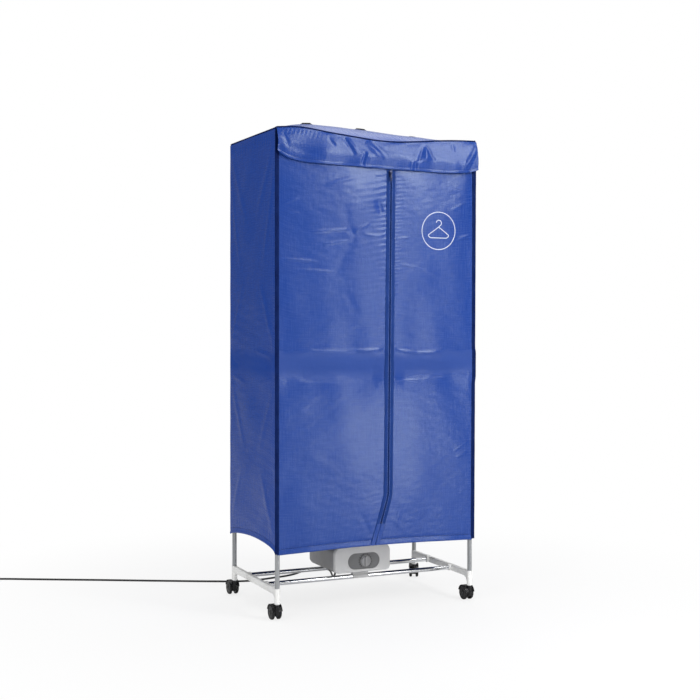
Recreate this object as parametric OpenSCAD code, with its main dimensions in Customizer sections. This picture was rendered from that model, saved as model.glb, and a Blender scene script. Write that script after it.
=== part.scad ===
// Folding-frame fabric drying cabinet: a zipped nylon cover over a tube frame on
// four twin-wheel casters, warmed by a small fan heater that rides on two rails.
// Millimetres, +Z up. The origin lies on the floor under the middle of the whole.

/* [Frame] */
// Distance between the left and the right poles
pole_span_x = 650; // [600:5:700]
// Distance between the front and the rear poles
pole_span_y = 380; // [360:5:420]
// Outside diameter of poles, rails and hanging rods
tube_d = 14; // [13:0.5:15]
// Wall thickness of all tubes
tube_wall = 1; // [0.7:0.1:1.2]
// Distance between the two rails or rods of a tier
rail_span = 152; // [140:2:164]
// Height of the top of the frame
frame_top = 1443; // [1300:1:1500]
// Height of the middle tier
mid_z = 727; // [680:1:780]
// Height of the underside of the corner sockets
socket_z = 49; // [49:1:53]
// Length of the corner sockets
socket_len = 45; // [42:1:52]
// Length of the middle sleeves
sleeve_len = 76; // [60:1:90]
// Wall of the moulded sockets round the tubes
socket_wall = 1.5; // [1.4:0.1:2]
// Width of the moulded side bars
bar_w = 12; // [11:0.5:13]
// Height of the moulded side bars
bar_h = 19; // [18.5:0.5:21]
// Radius of the arch under a side bar
arch_r = 26; // [16:1:30]

/* [Casters] */
// Wheel diameter
wheel_d = 44; // [42:1:45]
// Width of one wheel
wheel_w = 9; // [7:0.5:10]
// Offset of the axle behind the stem
trail = 20; // [18:0.5:22]
// Thickness of the housing between the wheels
yoke_w = 12.4; // [12:0.2:14]
// Diameter of the stem
stem_d = 8; // [7:0.5:8.5]
// Length of the stem
stem_len = 52.5; // [50:0.5:56]
// Diameter of the axle
axle_d = 5; // [4:0.5:6]
// Angle of the rear right caster
rear_right_turn = -24; // [-40:1:0]

/* [Heater] */
// Width of the heater
heater_w = 190; // [180:2:200]
// Depth of the heater
heater_l = 200; // [194:2:206]
// Height of the heater
heater_h = 84; // [82:1:90]
// Offset of the heater from the middle of the rails
heater_x = -12; // [-30:1:30]
// Front of the heater behind the front poles
heater_setback = 75; // [70:1:80]
// Gap between the rails and the underside of the heater
heater_lift = 12.5; // [12:0.5:14]
// Wall of the heater's mouldings
shell_t = 2.2; // [1.8:0.1:2.6]
// Depth of the front bezel
bezel_l = 12; // [10:1:14]
// Width of the oval control plate
plate_w = 108; // [96:2:116]
// Height of the oval control plate
plate_h = 50; // [44:1:52]
// Diameter of the timer knob
knob_d = 35; // [28:1:40]
// Diameter of the fan
fan_d = 76; // [64:2:80]
// Number of fan blades
fan_blades = 7; // [5:1:9]
// Number of fins in the heating element
fins = 22; // [12:1:26]

/* [Cover] */
// Thickness of the cloth as modelled
cloth_t = 1.5; // [1.2:0.1:2]
// Height of the hem at the corners
hem_z = 196; // [180:1:220]
// Rise of the side hems between the poles
hem_arch = 25; // [0:1:35]
// Rise of the roof above its edges
roof_rise = 45; // [20:1:55]
// How far the right side leans out at the top
right_lean = 7; // [0:0.5:9]
// How far the flap hangs down below the piping
flap_drop = 102; // [90:1:120]
// Width of the corner bindings on the front
binding_w = 11.5; // [9:0.5:14]
// Width of one zip tape
tape_w = 15; // [13:0.5:17]
// Position of the zip at its top
zip_x_top = 44; // [30:1:55]
// Position of the zip's straight part at the hem
zip_x_foot = 32; // [25:1:45]
// Height of the zip's foot, which is drawn aside
zip_kick_h = 154; // [120:2:170]
// How far the zip's foot is drawn aside
zip_kick_x = 44; // [20:1:50]
// Diameter of the roof piping
piping_d = 4.8; // [4:0.2:5.4]
// Diameter of the roof vents
vent_d = 36; // [30:1:40]

/* [Hidden] */
$fn = 48;
e = 0.5;                                   // overshoot of a cut past a face
gap = 0.3;                                 // gap between pieces that only meet
fit = 0.1;                                 // radial play of a tube in its socket
run = 0.05;                                // radial play of a turning fit
px = pole_span_x / 2;
py = pole_span_y / 2;
ry = rail_span / 2;
tube_r = tube_d / 2;
socket_r = tube_r + socket_wall;
// base tier
bar_z = socket_z + socket_len - bar_h;     // underside of the base side bars
rail_z = bar_z + bar_h / 2;
boss_r = bar_h / 2;
boss_len = 8;
link_end = ry - boss_r - 4.5;              // seam between corner piece and link
pole_foot = socket_z + 17;
rail_half = px + 2;
// poles
web = 3;                                   // floor between the two bores of a sleeve
sleeve_z = mid_z - sleeve_len / 2;
// casters
wheel_r = wheel_d / 2;
wheel_gap = 0.8;
guard_t = 1.8;
guard_r = wheel_r + wheel_gap + guard_t;
guard_top = wheel_r + guard_r;
wheel_in = yoke_w / 2 + 0.5;               // inner face of a wheel from the middle
stem_foot = 26.5;
collar_t = socket_z - guard_top - gap;
guard_low = 5;                             // guard's lower edge above the axle
corners = [[-1, -1], [1, -1], [-1, 1], [1, 1]];
turns = [0, 0, 0, rear_right_turn];

// heater
hy0 = -py + heater_setback;                // front face
hy1 = hy0 + heater_l;                      // rear face
rail_top = rail_z + tube_r;
hz0 = rail_top + heater_lift;              // underside
hz1 = hz0 + heater_h;                      // top
bezel_back = hy0 + bezel_l;
corner_low = 14;
corner_high = 25;
rear_r = 22;
lid_t = 7;
plate_x = heater_x + 4;
plate_z = hz0 + 0.4 * heater_h;
knob_x = heater_x + 9;
knob_len = 11;
pocket = 3;
plate_t = 1.2;
saddle_x = heater_x + 8;
spindle_d = 6;
fan_y = hy0 + 0.62 * heater_l;
fan_r = fan_d / 2;
hub_r = 12;
blade_h = 13;
fan_z = hz0 + 9;
motor_z = fan_z + blade_h + 2;
motor_h = 19;
beam_z = motor_z + motor_h;
beam_t = 3;
element_w = heater_w - 70;
element_l = 84;
element_h = 14;
element_z = beam_z + beam_t;
intake_r = fan_r + 4;
saddle_w = 52;
saddle_t = 3.2;
flange_t = 3;
cord_d = 6.5;
cord_r = cord_d / 2;
relief_len = 30;
cord_x = 40;
cord_z = hz0 + 34;

// cover
face_x = px + socket_r + gap + cloth_t;    // outer face of a side panel
face_y = py + socket_r + gap + cloth_t;    // outer face of the front and the back
piping_r = piping_d / 2;
edge_z = frame_top + 6;                    // middle of the piping along sides and back
flap_z = edge_z - flap_drop;               // lower edge of the flap
panel_top = edge_z - piping_r - gap;
hinge_x = face_x - binding_w;              // inner edge of a corner binding
seam = 0.5;                                // gap between a door and its neighbours
tape_lap = 0.2;                            // half the gap between the two zip coils
coil_w = 2.4;
coil_t = 1.5;
slider_h = 20;
zip_slope = (zip_x_top - zip_x_foot) / (flap_z - hem_z);

// place of the frame's middle, so that the origin lies under the middle of the
// whole: the rear right caster reaches furthest back and to the right
caster_half = wheel_in + wheel_w;
caster_reach = trail + sqrt(guard_r * guard_r - guard_low * guard_low);
flap_reach = 17.14;                        // furthest of the flap before the cover
turned = -rear_right_turn;
stand_x = -(caster_half * (cos(turned) - 1) + caster_reach * sin(turned)) / 2;
stand_y = -(py + caster_half * sin(turned) + caster_reach * cos(turned) - face_y - flap_reach) / 2;

// ---------------------------------------------------------------- helpers

module placed() {
    translate([stand_x, stand_y, 0])
        children();
}

// Closed skin between two grids of points that face each other. Rows run upwards
// and columns to the right as seen from the front grid's side.
module skin(front, rear) {
    rows = len(front);
    cols = len(front[0]);
    back = rows * cols;
    function at(i, j) = i * cols + j;
    function two(a, b, c, d) = [[a, b, c], [a, c, d]];
    polyhedron(
        points = concat([for (r = front) each r], [for (r = rear) each r]),
        faces = concat(
            [for (i = [0:rows - 2], j = [0:cols - 2])
                each two(at(i, j), at(i + 1, j), at(i + 1, j + 1), at(i, j + 1))],
            [for (i = [0:rows - 2], j = [0:cols - 2])
                each two(back + at(i, j), back + at(i, j + 1),
                         back + at(i + 1, j + 1), back + at(i + 1, j))],
            [for (j = [0:cols - 2])
                each two(at(0, j), at(0, j + 1), back + at(0, j + 1), back + at(0, j))],
            [for (j = [0:cols - 2])
                each two(at(rows - 1, j + 1), at(rows - 1, j),
                         back + at(rows - 1, j), back + at(rows - 1, j + 1))],
            [for (i = [0:rows - 2])
                each two(at(i + 1, 0), at(i, 0), back + at(i, 0), back + at(i + 1, 0))],
            [for (i = [0:rows - 2])
                each two(at(i, cols - 1), at(i + 1, cols - 1),
                         back + at(i + 1, cols - 1), back + at(i, cols - 1))]
        ),
        convexity = 8
    );
}

// Tube of any cross-section rings; each ring lists its points in turn
module lofted(rings, closed = false) {
    n = len(rings[0]);
    m = len(rings);
    last = closed ? m - 1 : m - 2;
    polyhedron(
        points = [for (r = rings) each r],
        faces = concat(
            [for (i = [0:last], j = [0:n - 1])
                let (a = i * n + j, b = i * n + (j + 1) % n,
                     c = ((i + 1) % m) * n + (j + 1) % n, d = ((i + 1) % m) * n + j)
                each [[a, b, c], [a, c, d]]],
            closed ? [] : [[for (j = [n - 1:-1:0]) j]],
            closed ? [] : [[for (j = [0:n - 1]) (m - 1) * n + j]]
        ),
        convexity = 6
    );
}

module tube(r, wall, len) {
    difference() {
        cylinder(r = r, h = len);
        translate([0, 0, -e])
            cylinder(r = r - wall, h = len + 2 * e);
    }
}

// Lays what runs along Z along X, centred
module along_x(len) {
    rotate([0, 90, 0])
        translate([0, 0, -len / 2])
            children();
}

module stadium(w, h) {
    square([w - h, h], center = true);
    for (s = [-1, 1])
        translate([s * (w - h) / 2, 0])
            circle(d = h);
}

// ---------------------------------------------------------------- frame

// Bar section with its upper edges broken
module bar_section(w, h) {
    c = 1.5;
    polygon([[-w / 2, 0], [w / 2, 0], [w / 2, h - c], [w / 2 - c, h],
             [c - w / 2, h], [-w / 2, h - c]]);
}

// Side bar along Y between two places
module side_bar(y0, y1, z) {
    translate([px, y1, z])
        rotate([90, 0, 0])
            linear_extrude(y1 - y0)
                bar_section(bar_w, bar_h);
}

// Arched web of radius r between a socket and the bar above it
module arch(z, r) {
    difference() {
        translate([px - bar_w / 2 + 2, py - socket_r - r + 1, z - r])
            cube([bar_w - 4, r + 1, r + 1]);
        translate([px, py - socket_r - r + 1, z - r])
            along_x(bar_w + 2)
                cylinder(r = r - 1, h = bar_w + 2);
    }
}

// Boss on the inner side of a bar that takes the end of a rail
module rail_boss(y, z) {
    translate([px - bar_w / 2 - boss_len, y, z])
        rotate([0, 90, 0])
            cylinder(r = boss_r, h = boss_len + 2);
}

module rail_bore(y, z) {
    translate([px - bar_w / 2 - boss_len - e, y, z])
        rotate([0, 90, 0])
            cylinder(r = tube_r + fit, h = rail_half + fit - px + bar_w / 2 + boss_len + e);
}

// Corner piece at the right rear; the others are mirrored
module base_corner() {
    difference() {
        union() {
            translate([px, py, socket_z])
                cylinder(r = socket_r, h = socket_len);
            translate([px, py, socket_z])
                cylinder(r = socket_r + 0.6, h = 3);
            side_bar(link_end, py, bar_z);
            arch(bar_z, min(arch_r, bar_z - socket_z));
            rail_boss(ry, rail_z);
        }
        translate([px, py, pole_foot - fit])
            cylinder(r = tube_r + fit, h = socket_len);
        translate([px, py, socket_z - e])
            cylinder(r = stem_d / 2 + fit, h = socket_len);
        rail_bore(ry, rail_z);
        translate([px - bar_w / 2 + 2.4, link_end - e, bar_z + 3])
            cube([bar_w - 4.8, e + 4, bar_h - 6]);
    }
}

module base_corner_at(sx, sy) {
    color("whitesmoke")
        placed()
            mirror([sx < 0 ? 1 : 0, 0, 0])
                mirror([0, sy < 0 ? 1 : 0, 0])
                    base_corner();
}

module base_corner_front_left() { base_corner_at(-1, -1); }
module base_corner_front_right() { base_corner_at(1, -1); }
module base_corner_rear_left() { base_corner_at(-1, 1); }
module base_corner_rear_right() { base_corner_at(1, 1); }

// Centre bars, each with a tongue in the corner piece at either end
module base_links() {
    play = 0.2;
    color("whitesmoke")
        placed()
            for (s = [0, 1])
                mirror([s, 0, 0]) {
                    side_bar(-link_end, link_end, bar_z);
                    translate([px - bar_w / 2 + 2.4 + play, -link_end - 3.6, bar_z + 3 + play])
                        cube([bar_w - 4.8 - 2 * play, 2 * link_end + 7.2, bar_h - 6 - 2 * play]);
                }
}

module rail(y, z) {
    translate([0, y, z])
        along_x(2 * rail_half)
            tube(tube_r, tube_wall, 2 * rail_half);
}

module rail_front() { color("silver") placed() rail(-ry, rail_z); }
module rail_rear() { color("silver") placed() rail(ry, rail_z); }

module poles(z0, z1) {
    color("gainsboro")
        placed()
            for (c = corners)
                translate([c[0] * px, c[1] * py, z0])
                    tube(tube_r, tube_wall, z1 - z0);
}

module lower_poles() { poles(pole_foot, mid_z - web / 2); }
module upper_poles() { poles(mid_z + web / 2, frame_top - web); }

// Moulded side of the middle tier: two long sleeves joined by a bar
module mid_bar() {
    bz = mid_z - bar_h / 2;
    difference() {
        union() {
            for (s = [-1, 1]) {
                translate([px, s * py, sleeve_z])
                    cylinder(r = socket_r, h = sleeve_len);
                rail_boss(s * ry, mid_z);
            }
            side_bar(-py, py, bz);
        }
        for (s = [-1, 1]) {
            translate([px, s * py, sleeve_z - e])
                cylinder(r = tube_r + fit, h = sleeve_len / 2 - web / 2 + e);
            translate([px, s * py, mid_z + web / 2])
                cylinder(r = tube_r + fit, h = sleeve_len);
            rail_bore(s * ry, mid_z);
        }
    }
}

module mid_bar_left() { color("whitesmoke") placed() mirror([1, 0, 0]) mid_bar(); }
module mid_bar_right() { color("whitesmoke") placed() mid_bar(); }

module mid_rods() {
    color("silver")
        placed()
            for (s = [-1, 1])
                rail(s * ry, mid_z);
}

top_bar_z = frame_top - 4 - bar_h;
top_rod_z = top_bar_z + bar_h / 2;

// Moulded side of the top tier: the poles end blind in its caps
module top_bar() {
    difference() {
        union() {
            for (s = [-1, 1]) {
                translate([px, s * py, frame_top - socket_len])
                    cylinder(r = socket_r, h = socket_len);
                mirror([0, s < 0 ? 1 : 0, 0])
                    arch(top_bar_z, min(arch_r, top_bar_z - frame_top + socket_len));
                rail_boss(s * ry, top_rod_z);
            }
            side_bar(-py, py, top_bar_z);
        }
        for (s = [-1, 1]) {
            translate([px, s * py, frame_top - socket_len - e])
                cylinder(r = tube_r + fit, h = socket_len - web + fit + e);
            rail_bore(s * ry, top_rod_z);
        }
    }
}

module top_bar_left() { color("whitesmoke") placed() mirror([1, 0, 0]) top_bar(); }
module top_bar_right() { color("whitesmoke") placed() top_bar(); }

module top_rods() {
    color("silver")
        placed()
            for (s = [-1, 1])
                rail(s * ry, top_rod_z);
}

// ---------------------------------------------------------------- casters

module at_caster(i) {
    placed()
        translate([corners[i][0] * px, corners[i][1] * py, 0])
            rotate([0, 0, turns[i]])
                children();
}

module caster_stems() {
    color("darkgray")
        for (i = [0:3])
            at_caster(i) {
                translate([0, 0, stem_foot])
                    cylinder(d = stem_d, h = stem_len);
                translate([0, 0, socket_z - collar_t])
                    cylinder(r = tube_r, h = collar_t);
            }
}

// Housing: a guard over both wheels, a yoke between them and the stem's boss
module caster_housing(i) {
    wide = 2 * (wheel_in + wheel_w);
    boss_foot = 21;
    color("dimgray")
        at_caster(i)
            difference() {
                union() {
                    intersection() {
                        translate([0, trail, wheel_r])
                            along_x(wide)
                                difference() {
                                    cylinder(r = guard_r, h = wide);
                                    translate([0, 0, -e])
                                        cylinder(r = guard_r - guard_t, h = wide + 2 * e);
                                }
                        translate([-wide, trail - 2 * guard_r, wheel_r + guard_low])
                            cube([2 * wide, 4 * guard_r, 2 * guard_r]);
                    }
                    intersection() {
                        translate([0, trail, wheel_r])
                            along_x(yoke_w)
                                cylinder(r = guard_r - 1, h = yoke_w);
                        translate([-wide, trail - 2 * guard_r, wheel_r - 9])
                            cube([2 * wide, 4 * guard_r, 2 * guard_r]);
                    }
                    translate([0, 0, boss_foot])
                        cylinder(d = yoke_w, h = guard_top - boss_foot);
                }
                translate([0, 0, stem_foot - gap])
                    cylinder(r = stem_d / 2 + run, h = guard_top);
                translate([0, trail, wheel_r])
                    along_x(yoke_w + 2)
                        cylinder(r = axle_d / 2 + run, h = yoke_w + 2);
            }
}

module caster_axle(i) {
    axle_len = 2 * (wheel_in + wheel_w - 1.5);
    color("silver")
        at_caster(i)
            translate([0, trail, wheel_r])
                along_x(axle_len)
                    cylinder(d = axle_d, h = axle_len);
}

// Half section of a wheel, inner face at zero
module wheel_profile() {
    bore = axle_d / 2 + 0.01;
    polygon([
        [bore, 0], [wheel_r - 1.2, 0], [wheel_r, 1.2], [wheel_r, wheel_w * 0.6],
        [wheel_r - 0.8, wheel_w * 0.82], [wheel_r - 2.8, wheel_w * 0.96],
        [wheel_r - 4.4, wheel_w * 0.96], [wheel_r - 4.9, wheel_w * 0.84],
        [wheel_r * 0.38, wheel_w * 0.92], [wheel_r * 0.3, wheel_w], [bore, wheel_w]
    ]);
}

module caster_wheels(i) {
    color("black")
        at_caster(i)
            for (s = [0, 1])
                mirror([s, 0, 0])
                    translate([wheel_in, trail, wheel_r])
                        rotate([0, 90, 0])
                            rotate_extrude()
                                wheel_profile();
}

module caster_housing_front_left() { caster_housing(0); }
module caster_housing_front_right() { caster_housing(1); }
module caster_housing_rear_left() { caster_housing(2); }
module caster_housing_rear_right() { caster_housing(3); }
module caster_axle_front_left() { caster_axle(0); }
module caster_axle_front_right() { caster_axle(1); }
module caster_axle_rear_left() { caster_axle(2); }
module caster_axle_rear_right() { caster_axle(3); }
module caster_wheels_front_left() { caster_wheels(0); }
module caster_wheels_front_right() { caster_wheels(1); }
module caster_wheels_rear_left() { caster_wheels(2); }
module caster_wheels_rear_right() { caster_wheels(3); }

// ---------------------------------------------------------------- heater

// Quarter-rounded rectangle from its low corner; r = radii low left, low right,
// high right, high left
module rounded_box(w, h, r) {
    difference() {
        square([w, h]);
        translate([-e, -e])
            square([r[0] + e, r[0] + e]);
        translate([w - r[1], -e])
            square([r[1] + e, r[1] + e]);
        translate([w - r[2], h - r[2]])
            square([r[2] + e, r[2] + e]);
        translate([-e, h - r[3]])
            square([r[3] + e, r[3] + e]);
    }
    translate([r[0], r[0]])
        circle(r = r[0]);
    translate([w - r[1], r[1]])
        circle(r = r[1]);
    translate([w - r[2], h - r[2]])
        circle(r = r[2]);
    translate([r[3], h - r[3]])
        circle(r = r[3]);
}

// Front view of the housing, drawn inwards by t
module front_view(t) {
    low = corner_low - t;
    high = corner_high - t;
    translate([-heater_w / 2 + t, t])
        rounded_box(heater_w - 2 * t, heater_h - 2 * t, [low, low, high, high]);
}

// Side view of the housing, front at the left
module side_view(t) {
    nose = 3;
    translate([t, t])
        rounded_box(heater_l - 2 * t, heater_h - 2 * t,
                    [nose - t / 2, rear_r - t, rear_r / 2, nose - t / 2]);
}

// Outer or inner form of the whole housing
module housing_form(t) {
    intersection() {
        translate([heater_x, hy1 + e, hz0])
            rotate([90, 0, 0])
                linear_extrude(heater_l + 2 * e)
                    front_view(t);
        translate([heater_x - heater_w, hy0, hz0])
            rotate([90, 0, 90])
                linear_extrude(2 * heater_w)
                    side_view(t);
    }
}

// Slab of the housing between two depths and two heights
module housing_part(y0, y1, z0, z1) {
    intersection() {
        children();
        translate([heater_x - heater_w, y0, z0])
            cube([2 * heater_w, y1 - y0, z1 - z0]);
    }
}

module screw_places() {
    for (s = [-1, 1], x = [-1, 1])
        translate([saddle_x + x * screw_pitch / 2, screw_y(s), 0])
            children();
}

// Screws lie inwards of the rails, the rear ones clear of the tub's rounded edge
function screw_y(s) = s < 0 ? screw_in - ry : min(ry - screw_in, hy1 - rear_r - 6);

screw_r = 1.5;
screw_pitch = 38;
screw_in = 19;                             // screws inwards of the rails
beam_w = 8;
beam_gap = 26;

module heater_tub() {
    color("darkgray")
        placed()
            difference() {
                union() {
                    difference() {
                        housing_part(bezel_back, hy1 + e, hz0 - e, hz1 - lid_t)
                            housing_form(0);
                        housing_form(shell_t);
                        translate([heater_x, fan_y, hz0 - e])
                            cylinder(r = intake_r - 4, h = shell_t + 2 * e);
                    }
                    // two beams from wall to wall carry the motor and the element
                    for (s = [-1, 1])
                        translate([heater_x - heater_w / 2 + 1, fan_y + s * beam_gap / 2 - beam_w / 2,
                                   beam_z])
                            cube([heater_w - 2, beam_w, beam_t]);
                }
                screw_places()
                    translate([0, 0, hz0 - e])
                        cylinder(r = screw_r + run, h = shell_t + 2 * e);
                translate([cord_x, hy1 - 3 * shell_t, cord_z])
                    rotate([-90, 0, 0])
                        cylinder(r = 5 + run, h = 6 * shell_t);
            }
}

module heater_bezel() {
    rim = 3;
    backing = 2.5;
    color("lightgray")
        placed()
            difference() {
                union() {
                    difference() {
                        // outer form with its front edge drawn in
                        hull() {
                            translate([heater_x, hy0 + rim, hz0])
                                rotate([90, 0, 0])
                                    linear_extrude(rim, scale = 1)
                                        translate([0, rim / 2])
                                            scale(1 - rim / heater_h)
                                                front_view(0);
                            translate([heater_x, bezel_back, hz0])
                                rotate([90, 0, 0])
                                    linear_extrude(bezel_l - rim)
                                        front_view(0);
                        }
                        translate([heater_x, bezel_back + e, hz0])
                            rotate([90, 0, 0])
                                linear_extrude(bezel_l - rim + e)
                                    front_view(shell_t);
                    }
                    translate([plate_x, hy0 + pocket + backing, plate_z])
                        rotate([90, 0, 0])
                            linear_extrude(pocket + backing - 0.8)
                                stadium(plate_w + 6, plate_h + 6);
                }
                translate([plate_x, hy0 + pocket, plate_z])
                    rotate([90, 0, 0])
                        linear_extrude(pocket + e)
                            stadium(plate_w + 2 * fit, plate_h + 2 * fit);
                translate([knob_x, hy0 - e, plate_z])
                    rotate([-90, 0, 0])
                        cylinder(d = spindle_d + 1.2, h = bezel_l);
            }
}

// Lid with the warm-air outlet: straight louvres over the element
module heater_lid() {
    outlet_w = element_w - 8;
    outlet_l = element_l - 6;
    pitch = 9;
    bars = floor(outlet_l / pitch);
    lip = 3;
    color("darkgray")
        placed() {
            difference() {
                housing_part(bezel_back, hy1 + e, hz1 - lid_t, hz1 + e)
                    housing_form(0);
                housing_part(bezel_back - e, hy1, hz1 - lid_t - e, hz1)
                    housing_form(shell_t);
                translate([heater_x - outlet_w / 2, fan_y - outlet_l / 2, hz1 - 2 * shell_t])
                    cube([outlet_w, outlet_l, 4 * shell_t]);
            }
            for (i = [1:bars - 1])
                translate([heater_x - outlet_w / 2 - 1, fan_y - outlet_l / 2 + i * outlet_l / bars - 1,
                           hz1 - shell_t])
                    cube([outlet_w + 2, 2, shell_t - 0.2]);
            translate([heater_x - 2, fan_y - outlet_l / 2 - 1, hz1 - shell_t - lip + 0.2])
                cube([4, outlet_l + 2, lip]);
        }
}

module control_plate() {
    color("dimgray")
        placed()
            difference() {
                union() {
                    translate([plate_x, hy0 + pocket, plate_z])
                        rotate([90, 0, 0])
                            linear_extrude(plate_t)
                                stadium(plate_w, plate_h);
                    // raised scale marks round the knob
                    for (a = [0:30:300])
                        translate([knob_x, hy0 + pocket - plate_t, plate_z])
                            rotate([0, a, 0])
                                translate([-0.5, -0.3, knob_d / 2 + 1.2])
                                    cube([1, 0.5, 3]);
                }
                translate([knob_x, hy0 - e, plate_z])
                    rotate([-90, 0, 0])
                        cylinder(d = spindle_d + 1.2, h = bezel_l);
            }
}

knob_back = hy0 + pocket - plate_t - 0.6;
timer_front = hy0 + pocket + 2.5;
timer_l = 24;

module timer_knob() {
    grip_w = 8;
    skirt = 4;
    color("gray")
        placed()
            translate([knob_x, 0, plate_z]) {
                translate([0, knob_back, 0])
                    rotate([90, 0, 0]) {
                        cylinder(d = knob_d, h = skirt);
                        translate([0, 0, skirt - 0.1])
                            cylinder(d1 = knob_d - 3, d2 = knob_d - 7, h = 3);
                        intersection() {
                            translate([-grip_w / 2, -knob_d / 2, 0])
                                cube([grip_w, knob_d, knob_len]);
                            cylinder(d = knob_d - 5, h = knob_len);
                        }
                    }
                translate([0, knob_back - 1, 0])
                    rotate([-90, 0, 0])
                        cylinder(d = spindle_d, h = timer_front - knob_back + 1 + 10);
            }
}

// Clockwork timer behind the bezel, with its terminals at the rear
module timer() {
    side = 40;
    color("ivory")
        placed()
            translate([knob_x, timer_front, plate_z])
                difference() {
                    union() {
                        translate([-side / 2, 0, -side / 2 + 1])
                            cube([side, timer_l, side - 2]);
                        for (x = [-12, 0, 12])
                            translate([x - 3.2, timer_l - e, -8])
                                cube([6.4, 8, 0.8]);
                    }
                    translate([0, -e, 0])
                        rotate([-90, 0, 0])
                            cylinder(r = spindle_d / 2 + run, h = 11 + e);
                }
}

module fan_motor() {
    color("dimgray")
        placed()
            translate([heater_x, fan_y, motor_z])
                difference() {
                    union() {
                        cylinder(r = 20, h = motor_h);
                        translate([0, 0, 3])
                            cylinder(r = 23, h = motor_h - 6);
                    }
                    translate([0, 0, -e])
                        cylinder(r = 1.5 + run, h = motor_h - 2 + e);
                }
}

// Axial fan: pitched blades cut from a disc, on a hub with its shaft
module fan_impeller() {
    pitch = 32;
    color("black")
        placed()
            translate([heater_x, fan_y, fan_z]) {
                difference() {
                    cylinder(r = hub_r, h = blade_h);
                    translate([0, 0, -e])
                        cylinder(r = hub_r - 2, h = blade_h - 3);
                }
                cylinder(r = 1.5, h = motor_z - fan_z + motor_h - 3);
                intersection() {
                    difference() {
                        cylinder(r = fan_r - 1, h = blade_h);
                        translate([0, 0, -e])
                            cylinder(r = hub_r - 0.6, h = blade_h + 2 * e);
                    }
                    for (k = [0:fan_blades - 1])
                        rotate([0, 0, k * 360 / fan_blades])
                            translate([fan_r / 2, 0, blade_h / 2])
                                rotate([pitch, 0, 0])
                                    cube([fan_r + 2, 24, 1.5], center = true);
                }
            }
}

// Self-limiting element: fins between three heating bars in a frame
module heating_element() {
    frame_t = 4;
    inner_w = element_w - 2 * frame_t;
    color("silver")
        placed()
            translate([heater_x - element_w / 2, fan_y - element_l / 2, element_z]) {
                difference() {
                    cube([element_w, element_l, element_h]);
                    translate([frame_t, frame_t, -e])
                        cube([inner_w, element_l - 2 * frame_t, element_h + 2 * e]);
                }
                for (k = [1:3])
                    translate([frame_t - 1, k * element_l / 4 - 3, 3])
                        cube([inner_w + 2, 6, element_h - 6]);
                for (k = [1:fins])
                    translate([frame_t + k * inner_w / (fins + 1) - 0.4, frame_t - 1, 2])
                        cube([0.8, element_l - 2 * frame_t + 2, element_h - 4]);
            }
}

module thermal_cutout() {
    color("ivory")
        placed()
            translate([heater_x + element_w / 2, fan_y, element_z + element_h / 2])
                rotate([0, 90, 0]) {
                    cylinder(r = 6.5, h = 5);
                    cylinder(r = 4, h = 8);
                }
}

// Round guard over the air intake, with ring slots left between its bars
module intake_grille() {
    color("dimgray")
        placed()
            translate([heater_x, fan_y, hz0 + shell_t]) {
                for (r = [12, 24, intake_r - 2])
                    difference() {
                        cylinder(r = r, h = 2);
                        translate([0, 0, -e])
                            cylinder(r = r - 2.5, h = 2 + 2 * e);
                    }
                for (a = [0:45:135])
                    rotate([0, 0, a])
                        translate([-intake_r + 3, -1, 0.2])
                            cube([2 * intake_r - 6, 2, 1.6]);
            }
}

module strain_relief() {
    color("black")
        placed()
            translate([cord_x, hy1, cord_z])
                rotate([-90, 0, 0])
                    difference() {
                        union() {
                            translate([0, 0, -shell_t - 1.5])
                                cylinder(r = 5, h = shell_t + 3);
                            translate([0, 0, 0.2])
                                cylinder(r = 7, h = 2.5);
                            cylinder(r1 = 5.6, r2 = cord_r + 0.9, h = relief_len);
                        }
                        translate([0, 0, -shell_t - 2])
                            cylinder(r = cord_r - 0.6, h = relief_len + shell_t + 2 - 4);
                    }
}

// Clips that hug the rails from above, each with a flange under the heater. The
// rear one is shaped to the rounded edge of the tub above it.
module rail_saddles() {
    hug = tube_r + fit;
    out_r = hug + saddle_t;
    mouth_z = rail_z - tube_r + 2.4;
    color("lightgray")
        placed()
            difference() {
                for (s = [-1, 1])
                    let (reach = ry - abs(screw_y(s)))
                    translate([saddle_x, s * ry, 0])
                        mirror([0, s < 0 ? 1 : 0, 0]) {
                            translate([0, 0, rail_z])
                                along_x(saddle_w)
                                    cylinder(r = out_r, h = saddle_w);
                            translate([-saddle_w / 2, -out_r, rail_z])
                                cube([saddle_w, out_r + hug, hz0 - rail_z + 4]);
                            translate([-saddle_w / 2, -reach - 7, hz0 - flange_t])
                                cube([saddle_w, reach, flange_t]);
                        }
                housing_form(-0.05);
                for (s = [-1, 1])
                    translate([saddle_x, s * ry, rail_z]) {
                        along_x(saddle_w + 2)
                            cylinder(r = hug, h = saddle_w + 2);
                        translate([-saddle_w, -hug - 5, mouth_z - 20 - rail_z])
                            cube([2 * saddle_w, 2 * hug + 10, 20]);
                    }
                screw_places()
                    translate([0, 0, hz0 - 2 * flange_t])
                        cylinder(r = screw_r + run, h = 3 * flange_t);
            }
}

// Screws through the saddles and the tub's floor
module heater_screws() {
    color("silver")
        placed()
            screw_places() {
                translate([0, 0, hz0 - flange_t - 2])
                    cylinder(r = 3, h = 2);
                translate([0, 0, hz0 - flange_t - 0.1])
                    cylinder(r = screw_r, h = 10);
            }
}

// ---------------------------------------------------------------- cover

function clamp01(t) = max(0, min(1, t));
function hump(x, at, wide) = exp(-pow((x - at) / wide, 2));

// Height of the seam that joins roof, header and flap along the front
function seam_z(x) = edge_z + 8 * hump(x, -260, 75) - 19 * hump(x, 40, 165);
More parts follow.
